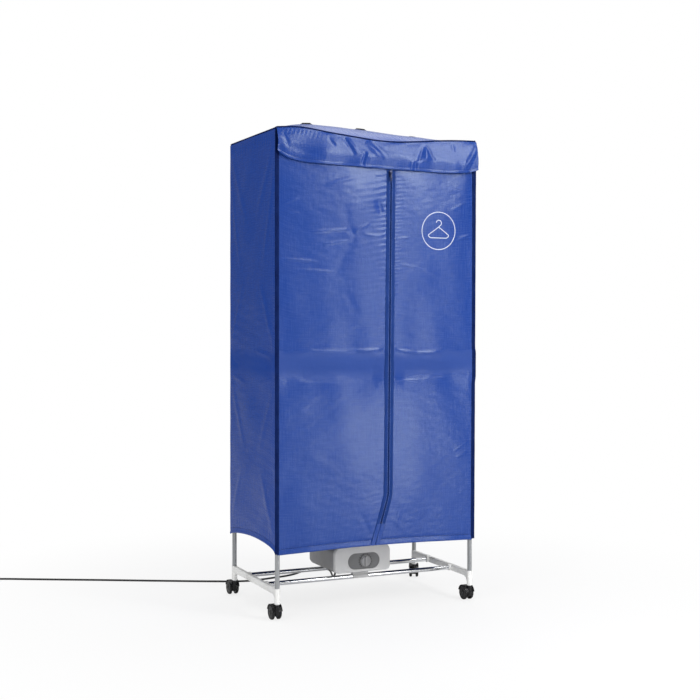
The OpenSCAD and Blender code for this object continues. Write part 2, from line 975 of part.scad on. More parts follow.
// Lower edge of the flap: it droops to the right and lifts at both ends, more so at
// the left
function flap_foot(x) =
    flap_z - 0.02 * x
    + (x < 0 ? 32 * pow(-x / face_x, 9) : 14 * pow(x / face_x, 8));
function door_top(x) = flap_foot(x) - 2.5;
function front_hem(x) = hem_z - 2 + 7 * cos(90 * x / face_x);
function side_hem(y) =
    hem_z + hem_arch * pow(sin(180 * pow(clamp01((y + face_y) / (2 * face_y)), 0.75)), 0.6);
function right_x(z) = face_x + right_lean * clamp01((z - hem_z) / (edge_z - hem_z));
// Middle of the zip: straight from the flap down, drawn to the left at its foot
function zip_x(z) =
    zip_x_foot + (z - hem_z) * zip_slope
    - zip_kick_x * pow(clamp01((hem_z + zip_kick_h - z) / zip_kick_h), 1.1);

// Folds of a cloth panel: a belly, the crease at the middle tier and a slack
// diagonal. u runs across and v up, and the folds die out at the panel's sides.
function folds(u, v, belly, crease, slack) =
    let (side = sin(180 * u), tier = (mid_z - hem_z) / (edge_z - hem_z))
    side * (belly * (0.35 + 0.65 * abs(sin(180 * v / (v < tier ? tier : 1 - tier)
                                           + (v < tier ? 0 : -180 * tier / (1 - tier)))))
            + slack * sin(360 * (1.2 * u + 1.6 * v)))
    - side * crease * hump(v, tier, 0.016);

// Rows of a panel: one where the zip's foot begins, and more round the crease
rows = [0, 0.03, 0.08, zip_kick_h / (flap_z - hem_z), 0.19, 0.29, 0.38, 0.41, 0.423,
        0.436, 0.46, 0.53, 0.62, 0.71, 0.8, 0.89, 0.96, 1];

module door(x0, x1, across) {
    // x0 and x1 give the sides' places at a height, as functions
    out = [for (v = rows) [for (u = across)
        let (zm = hem_z + v * (flap_z - hem_z),
             x = x0(zm) + u * (x1(zm) - x0(zm)),
             z = front_hem(x) + v * (door_top(x) - front_hem(x)))
        [x, -face_y - folds(u, v * 0.92, 3.5, 4.5, 1.6), z]]];
    skin(out, [for (r = out) [for (p = r) p + [0, cloth_t, 0]]]);
}

across = [0, 0.06, 0.13, 0.22, 0.33, 0.45, 0.58, 0.72, 0.85, 0.95, 1];

module door_left() {
    color("royalblue")
        placed()
            door(function (z) -hinge_x + seam, function (z) zip_x(z) - tape_w, across);
}

module door_right() {
    color("royalblue")
        placed()
            door(function (z) zip_x(z) + tape_w, function (z) hinge_x - seam, across);
}

// Zip tape beside the door's cloth, with the coil as a rib along its inner edge
module zip_tape(s) {
    steps = [tape_w, coil_w + tape_lap + 0.2, coil_w + tape_lap, tape_lap];
    order = s < 0 ? [0, 1, 2, 3] : [3, 2, 1, 0];
    out = [for (v = rows) [for (k = order)
        let (zm = hem_z + v * (flap_z - hem_z),
             x = zip_x(zm) + s * steps[k],
             z = front_hem(x) + v * (door_top(x) - front_hem(x)))
        [x, -face_y - (k > 1 ? coil_t : 0), z]]];
    skin(out, [for (r = out) [for (p = r) [p[0], -face_y + cloth_t, p[2]]]]);
}

module zip_tape_left() { color("midnightblue") placed() zip_tape(-1); }
module zip_tape_right() { color("midnightblue") placed() zip_tape(1); }

slider_top = door_top(zip_x_top) - 2.5;
slider_w = 9;
pin_r = 1;
pin_drop = -6.5;                           // pin below the slider's top
pin_out = 8.4;                             // pull's pin in front of the cover

// Places a piece at the slider, turned in line with the zip
module at_slider() {
    placed()
        translate([zip_x(slider_top), -face_y, slider_top])
            rotate([0, atan(zip_slope), 0])
                children();
}

// Slider: a waisted body with a channel for the coil and two ears for the pull
module zip_slider() {
    color("navy")
        at_slider()
            difference() {
                union() {
                    translate([-tape_lap - slider_w, -gap, 0])
                        rotate([90, 0, 0])
                            linear_extrude(4.6)
                                polygon([[0, -3], [2.2, 0], [slider_w, 0], [slider_w, -slider_h],
                                         [3, -slider_h], [1.4, -slider_h * 0.55]]);
                    for (x = [-7, -1.5 - tape_lap])
                        translate([x, -pin_out - 1.8, -9])
                            cube([1.5, pin_out - 3, 5]);
                    translate([-6, -pin_out, pin_drop])
                        rotate([0, 90, 0])
                            cylinder(r = pin_r, h = 5);
                }
                translate([-coil_w - 2 * tape_lap - gap, -coil_t - gap - e, -slider_h - e])
                    cube([slider_w, coil_t + gap + 2 * e, slider_h + 2 * e]);
            }
}

module zip_pull() {
    barrel_r = 2.1;
    plate_t = 1.6;
    half = 1.7;
    color("navy")
        at_slider()
            translate([-3.6, -pin_out, pin_drop])
                difference() {
                    union() {
                        along_x(2 * half)
                            cylinder(r = barrel_r, h = 2 * half);
                        translate([0, plate_t / 2, 0])
                            rotate([90, 0, 0])
                                linear_extrude(plate_t)
                                    polygon([[half, 0], [half, -8], [3.5, -12], [3, -26],
                                             [-3, -26], [-3.5, -12], [-half, -8], [-half, 0]]);
                    }
                    along_x(8)
                        cylinder(r = pin_r + run, h = 8);
                    translate([0, 2, -21])
                        rotate([90, 0, 0])
                            cylinder(r = 1.6, h = 4);
                }
}

// Fixed band behind the flap, from which both doors hang: its lower edge has the
// same corners as their upper edges
module cover_header() {
    half = hinge_x - seam;
    head = zip_x(flap_z);
    columns = concat([for (u = across) -half + u * (head - tape_w + half)],
                     [for (u = across) head + tape_w + u * (half - head - tape_w)]);
    out = [for (v = [0, 1]) [for (x = columns)
        [x, -face_y, v > 0 ? seam_z(x) - piping_r - gap : door_top(x) + seam]]];
    color("royalblue")
        placed()
            skin(out, [for (r = out) [for (p = r) p + [0, cloth_t, 0]]]);
}

// Loose flap over the head of the doors: it rolls outwards and droops
module flap() {
    x0 = -face_x + 4;
    x1 = face_x + right_lean;
    drop = [0, 0.14, 0.3, 0.48, 0.66, 0.82, 0.94, 1];
    n = 22;
    out = [for (i = [len(drop) - 1:-1:0]) [for (k = [0:n])
        let (d = drop[i], u = k / n, x = x0 + u * (x1 - x0),
             roll = 11 * sin(150 * d),
             ruffle = 2.4 * d * sin(360 * (4.5 * u + 0.35 * d)),
             flare = 9 * d * pow(u, 7),
             top = seam_z(x) - piping_r - gap)
        [x, -face_y - gap - cloth_t - roll - max(-0.8 * roll, ruffle) - flare,
         top + d * (flap_foot(x) - top)]]];
    color("royalblue")
        placed()
            skin(out, [for (r = out) [for (p = r) p + [0, cloth_t, 0]]]);
}

// Side panel; x is the outer face at a height, side is -1 or 1
module side_panel(side) {
    n = 10;
    front = -face_y + cloth_t + gap;
    out = [for (v = rows) [for (k = [0:n])
        let (u = side < 0 ? 1 - k / n : k / n,
             y = front + u * (face_y - front),
             z = side_hem(y) + v * (panel_top - side_hem(y)),
             x = side < 0 ? face_x : right_x(z))
        [side * (x + folds(u, v, 2.5, 1.5, 1.2)), y, z]]];
    skin(out, [for (r = out) [for (p = r) p - [side * cloth_t, 0, 0]]]);
}

module cover_left() { color("mediumblue") placed() side_panel(-1); }
module cover_right() { color("mediumblue") placed() side_panel(1); }

module cover_back() {
    n = 12;
    x0 = -face_x + cloth_t + gap;
    out = [for (v = rows) [for (k = [0:n])
        let (z = hem_z + 4 + v * (panel_top - hem_z - 4),
             x1 = right_x(z) - cloth_t - gap,
             u = k / n,
             x = x1 + u * (x0 - x1))
        [x, face_y + folds(u, v, 3, 3.5, 1.4), z]]];
    color("royalblue")
        placed()
            skin(out, [for (r = out) [for (p = r) p - [0, cloth_t, 0]]]);
}

// Roof: a dome whose front edge follows the seam
function roof_z(x, y) =
    let (peak = -150, half = x < peak ? face_x + peak : face_x + right_lean - peak,
         front = clamp01((face_y - y) / (2 * face_y)))
    edge_z + (seam_z(x) - edge_z) * pow(front, 4)
    + roof_rise * (1 - pow(clamp01(abs(x - peak) / half), 2)) * (1 - pow(clamp01(abs(y) / face_y), 2));

inset = piping_r + 1.3;

module cover_roof() {
    nx = 16;
    ny = 12;
    x0 = -face_x + inset;
    x1 = face_x + right_lean - inset;
    y0 = -face_y + inset;
    out = [for (j = [0:ny]) [for (i = [0:nx])
        let (x = x0 + i * (x1 - x0) / nx, y = y0 + j * 2 * (face_y - inset) / ny)
        [x, y, roof_z(x, y)]]];
    color("cornflowerblue")
        placed()
            skin(out, [for (r = out) [for (p = r) p - [0, 0, cloth_t]]]);
}

// Cord piping round the roof, run through the front seam
module roof_piping() {
    r = 5;
    x0 = -face_x + 1.2;
    x1 = face_x + right_lean - 1.2;
    y1 = face_y - 1.2;
    n = 15;
    bend = [0, 30, 60, 90];
    path = concat(
        [for (k = [0:n]) let (x = x0 + r + k * (x1 - x0 - 2 * r) / n) [x, -y1, seam_z(x), -90]],
        [for (a = bend) [x1 - r + r * sin(a), -y1 + r - r * cos(a), edge_z, a - 90]],
        [for (a = bend) [x1 - r + r * cos(a), y1 - r + r * sin(a), edge_z, a]],
        [for (a = bend) [x0 + r - r * sin(a), y1 - r + r * cos(a), edge_z, a + 90]],
        [for (a = bend) [x0 + r - r * cos(a), -y1 + r - r * sin(a),
                         edge_z + (a / 90) * (seam_z(x0 + r) - edge_z), a + 180]]
    );
    spots = [for (k = [0:len(path) - 1])
        if (k == 0 || norm(path[k] - path[k - 1]) > 0.5) path[k]];
    ring = [for (p = [for (k = [0:len(spots) - 2]) spots[k]])
        [for (b = [0:60:300])
            [p[0] + piping_r * cos(b) * cos(p[3]), p[1] + piping_r * cos(b) * sin(p[3]),
             p[2] + piping_r * sin(b)]]];
    color("navy")
        placed()
            lofted(ring, closed = true);
}

// Tapes folded over the front corners; the right one leans with its panel
module corner_binding(side) {
    flat = [[binding_w, cloth_t], [0, cloth_t], [0, 0.8], [-1, -0.2], [0, -1.2], [1.5, -1],
            [2.3, 0], [binding_w, 0]];
    function ring(z, bead) = [for (k = [0:len(flat) - 1])
        let (p = flat[k], x = side < 0 ? face_x : right_x(z))
        [side * (p[0] == binding_w ? hinge_x : x - max(p[0], p[0] * bead)),
         -face_y + max(p[1], p[1] * bead), z]];
    rings = [ring(hem_z + 0.5, 1), ring(panel_top - 10, 1), ring(panel_top, 0.05)];
    lofted(side < 0 ? rings : [for (r = rings) [for (k = [len(r) - 1:-1:0]) r[k]]]);
}

module corner_bindings() {
    color("navy")
        placed()
            for (s = [-1, 1])
                corner_binding(s);
}

// Three round vents along the ridge of the roof, seated in line with its slope
module roof_vents() {
    vent_pitch = 185;
    vent_y = -50;
    color("black")
        placed()
            for (k = [-1:1]) {
                x = k * vent_pitch + 10;
                slope_x = (roof_z(x + 1, vent_y) - roof_z(x - 1, vent_y)) / 2;
                slope_y = (roof_z(x, vent_y + 1) - roof_z(x, vent_y - 1)) / 2;
                translate([x, vent_y, roof_z(x, vent_y) + 0.15])
                    rotate([atan(slope_y), -atan(slope_x), 0])
                        difference() {
                            union() {
                                cylinder(d = vent_d, h = 1.6);
                                cylinder(d1 = vent_d - 5, d2 = vent_d - 9, h = 4.4);
                            }
                            for (s = [-1, 0, 1])
                                translate([-8, s * 6 - 1, 3.2])
                                    cube([16, 2, 3]);
                        }
            }
}

// ---------------------------------------------------------------- mains lead

// Points that the lead follows: out of the heater, down to the floor behind the
// cabinet, round a wide bend and away to the left
lead_route = [
    [40, 115, 138], [40, 131, 138], [41, 150, 135], [43, 175, 121], [47, 200, 97],
    [52, 225, 67], [58, 250, 37], [64, 275, 14], [71, 302, 5], [80, 330, 3],
    [90, 360, 3], [100, 390, 3], [106, 418, 3], [101, 442, 3], [85, 459, 3],
    [62, 464, 3], [38, 455, 3], [3, 429, 3], [-36, 400, 3],
    [-73, 384, 3], [-113, 376, 3], [-154, 367, 3], [-211, 361, 3], [-269, 376, 3],
    [-318, 399, 3], [-367, 423, 3], [-457, 470, 3], [-548, 518, 3], [-639, 567, 3],
    [-725, 612, 3], [-808, 655, 3], [-888, 697, 3], [-950, 730, 3], [-1000, 752, 3],
    [-1040, 763, 5], [-1068, 765, 9], [-1084, 765, 9]
];
plug_back = [-1084, 765, 9];

function catmull(a, b, c, d, t) =
    0.5 * (2 * b + (c - a) * t + (2 * a - 5 * b + 4 * c - d) * t * t
           + (3 * b - a - 3 * c + d) * t * t * t);
function unit(v) = v / norm(v);

module mains_lead() {
    n = len(lead_route);
    pts = [for (k = [0:n - 2], t = [0, 0.5])
        let (p = catmull(lead_route[max(k - 1, 0)], lead_route[k], lead_route[k + 1],
                         lead_route[min(k + 2, n - 1)], t))
        [p[0], p[1], max(p[2], cord_r)]];
    line = concat(pts, [lead_route[n - 1]]);
    m = len(line);
    rings = [for (k = [0:m - 1])
        let (ahead = k < 2 ? [0, 1, 0] : k > m - 3 ? [-1, 0, 0]
                 : unit(line[k + 1] - line[k - 1]),
             across = unit(cross(ahead, [0, 0, 1])), up = cross(across, ahead))
        [for (a = [0:45:315]) line[k] + cord_r * (cos(a) * across + sin(a) * up)]];
    color("black")
        placed()
            lofted([for (r = rings) [for (k = [len(r) - 1:-1:0]) r[k]]]);
}

// Flat two-pin plug lying on the floor
module mains_plug() {
    body_l = 40;
    body_w = 36;
    body_t = 17.6;
    pin_d = 4.8;
    pin_len = 19;
    pin_gap = 19;
    shoulder = 8;
    color("black")
        placed()
            translate(plug_back)
                rotate([0, -90, 0]) {
                    cylinder(r1 = cord_r + 1, r2 = cord_r + 3, h = 14);
                    translate([-body_t / 2, 0, 0])
                        rotate([90, 0, 90])
                            linear_extrude(body_t) {
                                translate([-body_w / 2 + shoulder, 12])
                                    square([body_w - 2 * shoulder, body_l - 12]);
                                translate([-body_w / 2, 12 + shoulder])
                                    square([body_w, body_l - 12 - shoulder]);
                                for (s = [-1, 1])
                                    translate([s * (body_w / 2 - shoulder), 12 + shoulder])
                                        circle(r = shoulder);
                            }
                    for (s = [-1, 1])
                        translate([0, s * pin_gap / 2, body_l - 1])
                            cylinder(d = pin_d, h = pin_len + 1);
                }
}

base_corner_front_left();
base_corner_front_right();
base_corner_rear_left();
base_corner_rear_right();
base_links();
rail_front();
rail_rear();
lower_poles();
upper_poles();
mid_bar_left();
mid_bar_right();
mid_rods();
top_bar_left();
top_bar_right();
top_rods();
caster_stems();
caster_housing_front_left();
caster_axle_front_left();
caster_wheels_front_left();
caster_housing_front_right();
caster_axle_front_right();
caster_wheels_front_right();
caster_housing_rear_left();
caster_axle_rear_left();
caster_wheels_rear_left();
caster_housing_rear_right();
caster_axle_rear_right();
caster_wheels_rear_right();
heater_tub();
heater_bezel();
heater_lid();
control_plate();
timer_knob();
timer();
fan_motor();
fan_impeller();
heating_element();
thermal_cutout();
intake_grille();
strain_relief();
rail_saddles();
heater_screws();
cover_left();
cover_right();
cover_back();
cover_roof();
cover_header();
door_left();
door_right();
flap();
corner_bindings();
roof_piping();
roof_vents();
zip_tape_left();
zip_tape_right();
zip_slider();
zip_pull();
mains_lead();
mains_plug();
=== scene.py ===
from math import cos, pi, radians, sin, sqrt

import bmesh
import bpy
import numpy as np
from mathutils import Matrix, Vector


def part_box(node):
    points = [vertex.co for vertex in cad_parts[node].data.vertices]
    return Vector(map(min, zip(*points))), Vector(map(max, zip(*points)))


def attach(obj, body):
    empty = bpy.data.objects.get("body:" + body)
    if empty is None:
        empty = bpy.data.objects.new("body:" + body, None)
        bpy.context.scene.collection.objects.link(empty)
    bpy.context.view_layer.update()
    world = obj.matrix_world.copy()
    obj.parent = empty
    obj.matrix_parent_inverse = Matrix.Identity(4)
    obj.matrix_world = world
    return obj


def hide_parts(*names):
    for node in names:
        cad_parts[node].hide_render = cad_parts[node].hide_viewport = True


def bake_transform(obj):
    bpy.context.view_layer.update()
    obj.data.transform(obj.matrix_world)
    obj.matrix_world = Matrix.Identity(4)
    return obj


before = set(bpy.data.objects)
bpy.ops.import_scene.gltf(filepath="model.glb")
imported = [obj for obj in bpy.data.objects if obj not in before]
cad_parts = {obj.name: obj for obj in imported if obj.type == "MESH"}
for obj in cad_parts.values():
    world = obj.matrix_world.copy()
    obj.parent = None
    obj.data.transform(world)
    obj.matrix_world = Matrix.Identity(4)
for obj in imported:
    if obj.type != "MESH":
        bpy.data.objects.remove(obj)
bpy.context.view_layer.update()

# -------- camera
# The cabinet stands on the floor and is seen from about 4 m away and 0.89 m above
# the floor, from its left front. The upright edges stay upright in the picture.
pole_low, pole_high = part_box("lower_poles")
STAND = Vector(((pole_low.x + pole_high.x) / 2, (pole_low.y + pole_high.y) / 2, 0))
bpy.ops.object.camera_add(
    location=STAND + Vector((-1.662, -3.640, 0.888)),
    rotation=(radians(90), 0, radians(-24.5)),
)
camera = bpy.context.object
camera.name = "camera"
camera.data.sensor_width = 36
camera.data.lens = 64.54
camera.data.shift_y = -31 / 700
bpy.context.scene.camera = camera
bpy.context.scene.view_settings.view_transform = "Standard"

# -------- mains lead
# Round two-core mains lead in black PVC, 6.5 mm thick and 1.7 m long. It leaves the
# rear of the heater through a tapered boot, drops to the floor behind the cabinet,
# turns in a wide bend and lies on the floor away to the left, up to its moulded plug.
LEAD_THICK = 0.0065
HANDLE_SHARE = 1 / 6
LEAD_ROUTE = [
    (40, 115, 138), (40, 131, 138), (41, 150, 135), (43, 175, 121), (47, 200, 97),
    (52, 225, 67), (58, 250, 37), (64, 275, 14), (71, 302, 5), (80, 330, 3),
    (90, 360, 3), (100, 390, 3), (106, 418, 3), (101, 442, 3), (85, 459, 3),
    (62, 464, 3), (38, 455, 3), (3, 429, 3), (-36, 400, 3),
    (-73, 384, 3), (-113, 376, 3), (-154, 367, 3), (-211, 361, 3), (-269, 376, 3),
    (-318, 399, 3), (-367, 423, 3), (-457, 470, 3), (-548, 518, 3), (-639, 567, 3),
    (-725, 612, 3), (-808, 655, 3), (-888, 697, 3), (-950, 730, 3), (-1000, 752, 3),
    (-1040, 763, 5), (-1068, 765, 9), (-1084, 765, 9),
]


def finish_of(name, colour, rough, metal=0.0, **sockets):
    """A material with its plain colour and gloss; its detail is wired in afterwards."""
    made = bpy.data.materials.new(name)
    made.use_nodes = True
    shader = made.node_tree.nodes["Principled BSDF"]
    plain = {"Base Color": (*colour, 1), "Roughness": rough, "Metallic": metal}
    for socket, value in {**plain, **sockets}.items():
        shader.inputs[socket.replace("_", " ")].default_value = value
    return made


def wire(made, kind, sockets, **settings):
    """Adds a node; a socket is given a number, a colour or another node's output."""
    new = made.node_tree.nodes.new(kind)
    for key, value in settings.items():
        setattr(new, key, value)
    for key, value in sockets.items():
        if isinstance(value, bpy.types.NodeSocket):
            made.node_tree.links.new(value, new.inputs[key])
        else:
            new.inputs[key].default_value = value
    return new


def combine(made, operation, *values):
    """Result of a math node; each value is a number or another node's output."""
    return wire(made, "ShaderNodeMath", dict(enumerate(values)), operation=operation).outputs[0]


def on_shader(made, socket, output):
    made.node_tree.links.new(output, made.node_tree.nodes["Principled BSDF"].inputs[socket])


def place_of(made, stretch=(1, 1, 1), source="Object"):
    """Object coordinates, or the piece's own UV map, stretched for a pattern."""
    where = wire(made, "ShaderNodeTexCoord", {})
    return wire(made, "ShaderNodeMapping",
                {"Vector": where.outputs[source], "Scale": stretch}).outputs[0]


def speckle(made, size, stretch=(1, 1, 1), detail=3.0, source="Object"):
    """Noise whose lumps are about size metres across."""
    return wire(made, "ShaderNodeTexNoise",
                {"Vector": place_of(made, stretch, source), "Scale": 1 / size,
                 "Detail": detail}).outputs["Fac"]


def spread(made, value, low, high, since=0.3, until=0.7):
    """Value mapped from since..until to low..high."""
    return wire(made, "ShaderNodeMapRange",
                {"Value": value, "From Min": since, "From Max": until,
                 "To Min": low, "To Max": high}).outputs[0]


def tint(made, value, dark, light, since=0.3, until=0.7):
    """Colour that runs from dark to light with value."""
    ramp = wire(made, "ShaderNodeValToRGB", {"Fac": value})
    for stop, at, colour in zip(ramp.color_ramp.elements, (since, until), (dark, light)):
        stop.position, stop.color = at, (*colour, 1)
    return ramp.outputs["Color"]


def relief(made, value, height, over=None):
    """Bump of that height in metres, on top of another bump where one is given."""
    sockets = {"Height": value, "Distance": height, "Strength": 1.0}
    if over is not None:
        sockets["Normal"] = over
    return wire(made, "ShaderNodeBump", sockets).outputs["Normal"]


def textured(name, colour, rough, gloss, bump=None, tones=None, metal=0.0, **sockets):
    """A finish with grain. gloss is (size, low, high), bump (size, height) and tones
    (size, dark, light), each with a stretch at its end where the grain runs one way."""
    made = finish_of(name, colour, rough, metal, **sockets)
    if tones:
        size, dark, light, *stretch = tones
        on_shader(made, "Base Color", tint(made, speckle(made, size, *stretch), dark, light))
    size, low, high, *stretch = gloss
    on_shader(made, "Roughness", spread(made, speckle(made, size, *stretch), low, high))
    if bump:
        size, height, *stretch = bump
        on_shader(made, "Normal", relief(made, speckle(made, size, *stretch), height))
    return made


def only(piece):
    """Selects the piece alone and makes it active."""
    bpy.ops.object.select_all(action="DESELECT")
    piece.select_set(True)
    bpy.context.view_layer.objects.active = piece


def piece_of(name, data, finish):
    data.materials.append(finish)
    piece = bpy.data.objects.new(name, data)
    bpy.context.scene.collection.objects.link(piece)
    only(piece)
    return piece


def belongs(piece, body, stands_for=()):
    """Hangs the piece on its body's empty, and hides the CAD nodes it stands for."""
    if body:
        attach(piece, body)
    if stands_for:
        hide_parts(*stands_for)
    return piece


def form_of(name, nodes, finish, body="cabinet", slot=None, soften=0.0, steps=2, angle=32):
    """A piece in the form of its solids: welded, its edges rounded, shaded smooth. Its
    slot argument is not used."""
    bpy.ops.object.select_all(action="DESELECT")
    for node in nodes:
        copy = bpy.data.objects.new(name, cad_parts[node].data.copy())
        bpy.context.scene.collection.objects.link(copy)
        copy.select_set(True)
        bpy.context.view_layer.objects.active = copy
    if len(nodes) > 1:
        bpy.ops.object.join()
    piece = bpy.context.object
    piece.name = name
    piece.data.materials.clear()
    piece.data.materials.append(finish)
    bpy.ops.mesh.customdata_custom_splitnormals_clear()
    bpy.ops.object.mode_set(mode="EDIT")
    bpy.ops.mesh.select_all(action="SELECT")
    bpy.ops.mesh.remove_doubles(threshold=0.00001)
    bpy.ops.mesh.dissolve_limited(angle_limit=radians(0.3))
    bpy.ops.object.mode_set(mode="OBJECT")
    if soften:
        bpy.ops.object.modifier_add(type="BEVEL")
        rounding = piece.modifiers[-1]
        rounding.width = soften
        rounding.segments = steps
        rounding.limit_method = "ANGLE"
        rounding.angle_limit = radians(angle)
        rounding.use_clamp_overlap = True
        bpy.ops.object.modifier_apply(modifier=rounding.name)
    bpy.ops.object.shade_smooth_by_angle(angle=radians(angle))
    return belongs(piece, body, nodes)


lead_black = textured(
    "lead_pvc", (0.012, 0.012, 0.013), 0.42, (0.012, 0.36, 0.55), (0.0012, 0.00006),
    (0.03, (0.009, 0.009, 0.010), (0.018, 0.018, 0.019)))
form_of("boot", ["strain_relief"], lead_black, slot="lead_black", soften=0.0006)
plug = form_of("plug", ["mains_plug"], lead_black, slot="lead_black", soften=0.0012,
               steps=3)
route = [STAND + Vector((x / 1000, y / 1000, max(z / 1000, LEAD_THICK / 2)))
         for x, y, z in LEAD_ROUTE]
line = bpy.data.curves.new("mains_lead_line", "CURVE")
line.dimensions = "3D"
line.bevel_depth = LEAD_THICK / 2
line.bevel_resolution = 4
line.resolution_u = 8
line.use_fill_caps = True
spline = line.splines.new("BEZIER")
spline.bezier_points.add(len(route) - 1)
for k, at in enumerate(route):
    before, after = route[max(k - 1, 0)], route[min(k + 1, len(route) - 1)]
    reach = (after - before) * HANDLE_SHARE
    point = spline.bezier_points[k]
    point.handle_left_type = point.handle_right_type = "FREE"
    point.co = at
    point.handle_left = at - reach
    point.handle_right = at + reach
    for handle in (point.handle_left, point.handle_right):
        handle.z = max(handle.z, LEAD_THICK / 2)
lead = belongs(piece_of("lead", line, lead_black), "cabinet", ["mains_lead"])

# -------- floor and light
# A plain white studio: a pale floor that keeps the soft shadow, and large soft lamps.
# The narrow upright lamp at the right front gives the cover its streak of sheen.
bpy.ops.mesh.primitive_plane_add(size=60, location=(0, 0, 0))
ground = bpy.context.object
ground.name = "studio_floor"
floor_white = finish_of("studio_white", (0.86, 0.86, 0.86), 0.9, Specular_IOR_Level=0.0)
tree = floor_white.node_tree
rays = wire(floor_white, "ShaderNodeLightPath", {}).outputs
seen = combine(floor_white, "MAXIMUM", rays["Is Camera Ray"], rays["Is Transmission Ray"])
where = wire(floor_white, "ShaderNodeTexCoord", {})
away = wire(floor_white, "ShaderNodeVectorMath", {0: where.outputs["Object"]},
            operation="LENGTH")
far = wire(floor_white, "ShaderNodeMapRange",
           {"Value": away.outputs["Value"], "From Min": 0.5, "From Max": 1.6,
            "To Min": 0.78, "To Max": 1.0}, interpolation_type="SMOOTHSTEP")
glow = wire(floor_white, "ShaderNodeEmission", {"Color": (1, 1, 1, 1), "Strength": 1.0})
mixed = wire(floor_white, "ShaderNodeMixShader",
             {0: combine(floor_white, "MULTIPLY", seen, far.outputs[0]),
              1: tree.nodes["Principled BSDF"].outputs[0], 2: glow.outputs[0]})
tree.links.new(mixed.outputs[0], tree.nodes["Material Output"].inputs["Surface"])
ground.data.materials.append(floor_white)

world = bpy.data.worlds.new("studio")
bpy.context.scene.world = world
world.use_nodes = True
air = world.node_tree.nodes
rays = wire(world, "ShaderNodeLightPath", {}).outputs
seen = combine(world, "MAXIMUM", rays["Is Camera Ray"], rays["Is Transmission Ray"])
level = spread(world, seen, 0.45, 1.0, 0.0, 1.0)
dimmed = combine(world, "MULTIPLY_ADD", rays["Is Glossy Ray"], -0.25, level)
world.node_tree.links.new(dimmed, air["Background"].inputs["Strength"])
air["Background"].inputs["Color"].default_value = (1, 1, 1, 1)

for name, at, towards, wide, high, power in (
        ("strip_lamp", (0.84, -1.85, 1.08), (0.04, -0.2, 1.08), 0.16, 1.95, 8),
        ("head_lamp", (0.85, -1.85, 1.70), (0.05, -0.2, 1.3), 0.38, 0.45, 6),
        ("foot_lamp", (0.78, -1.85, 0.32), (0.0, -0.2, 0.5), 0.50, 0.50, 2.6),
        ("flap_lamp", (1.40, -2.0, 2.7), (0.1, -0.2, 1.42), 1.0, 1.1, 30),
        ("top_lamp", (-0.3, 0.2, 3.6), (0, 0, 0.9), 2.6, 2.0, 36),
        ("left_lamp", (-3.6, -2.4, 1.6), (0, 0, 0.8), 1.4, 2.2, 45),
        ("rear_lamp", (2.7, 3.1, 1.7), (0, 0, 0.85), 2.8, 2.6, 14),
        ("back_lamp", (1.1, 2.4, 3.4), (0, 0, 1.45), 2.6, 1.0, 12)):
    bpy.ops.object.light_add(type="AREA", location=at)
    lamp = bpy.context.object
    lamp.name = name
    lamp.rotation_euler = (Vector(towards) - Vector(at)).to_track_quat("-Z", "Y").to_euler()
    lamp.data.shape = "RECTANGLE"
    lamp.data.size, lamp.data.size_y, lamp.data.energy = wide, high, power

# -------- base frame
# Four white ABS corner pieces and two centre bars carry the poles and the chromed
# rails. They are injection moulded, satin, with small rounded edges and a push fit.
frame_white = textured(
    "frame_plastic", (0.88, 0.88, 0.865), 0.38, (0.02, 0.32, 0.46), (0.0009, 0.00004),
    (0.05, (0.85, 0.85, 0.835), (0.91, 0.91, 0.895)))
rail_chromed = textured(
    "rail_chrome", (0.74, 0.75, 0.77), 0.10, (0.01, 0.07, 0.17, (0.1, 1, 1)),
    (0.02, 0.00008, (0.15, 1, 1)), metal=1.0)
pole_grey = textured(
    "pole_steel", (0.33, 0.34, 0.35), 0.34, (0.004, 0.28, 0.42), (0.0012, 0.00003),
    (0.03, (0.29, 0.30, 0.31), (0.37, 0.38, 0.39), (1, 1, 0.2)), metal=0.55)
CORNERS = ["front_left", "front_right", "rear_left", "rear_right"]
TUBE = {"soften": 0.0002, "steps": 1, "angle": 40}
for corner in CORNERS:
    form_of(f"corner_piece_{corner}", [f"base_corner_{corner}"], frame_white,
            soften=0.0006)
form_of("centre_bars", ["base_links"], frame_white, soften=0.0006)
form_of("base_rails", ["rail_front", "rail_rear"], rail_chromed, **TUBE)
form_of("pole_set_lower", ["lower_poles"], pole_grey, **TUBE)

# -------- upper tiers
# Under the cover the frame goes on upwards: long sleeves with a cross bar and two
# hanging rods half way up, and capped bars with two more rods at the top.
form_of("pole_set_upper", ["upper_poles"], pole_grey, **TUBE)
for tier in ("mid", "top"):
    for side in ("left", "right"):
        form_of(f"{tier}_tier_{side}", [f"{tier}_bar_{side}"], frame_white, soften=0.0006)
    form_of(f"{tier}_hanging_rods", [f"{tier}_rods"], rail_chromed, **TUBE)

# -------- casters
# Twin-wheel casters in glossy black nylon: a guard over two wheels on one steel
# axle, on a steel stem pressed into the corner piece.
def glossy_nylon(name, colour, rough):
    return textured(name, colour, rough, (0.006, rough * 0.8, rough * 1.35),
                    (0.008, 0.00010), Specular_IOR_Level=0.3, Coat_Weight=0.08,
                    Coat_Roughness=0.08)


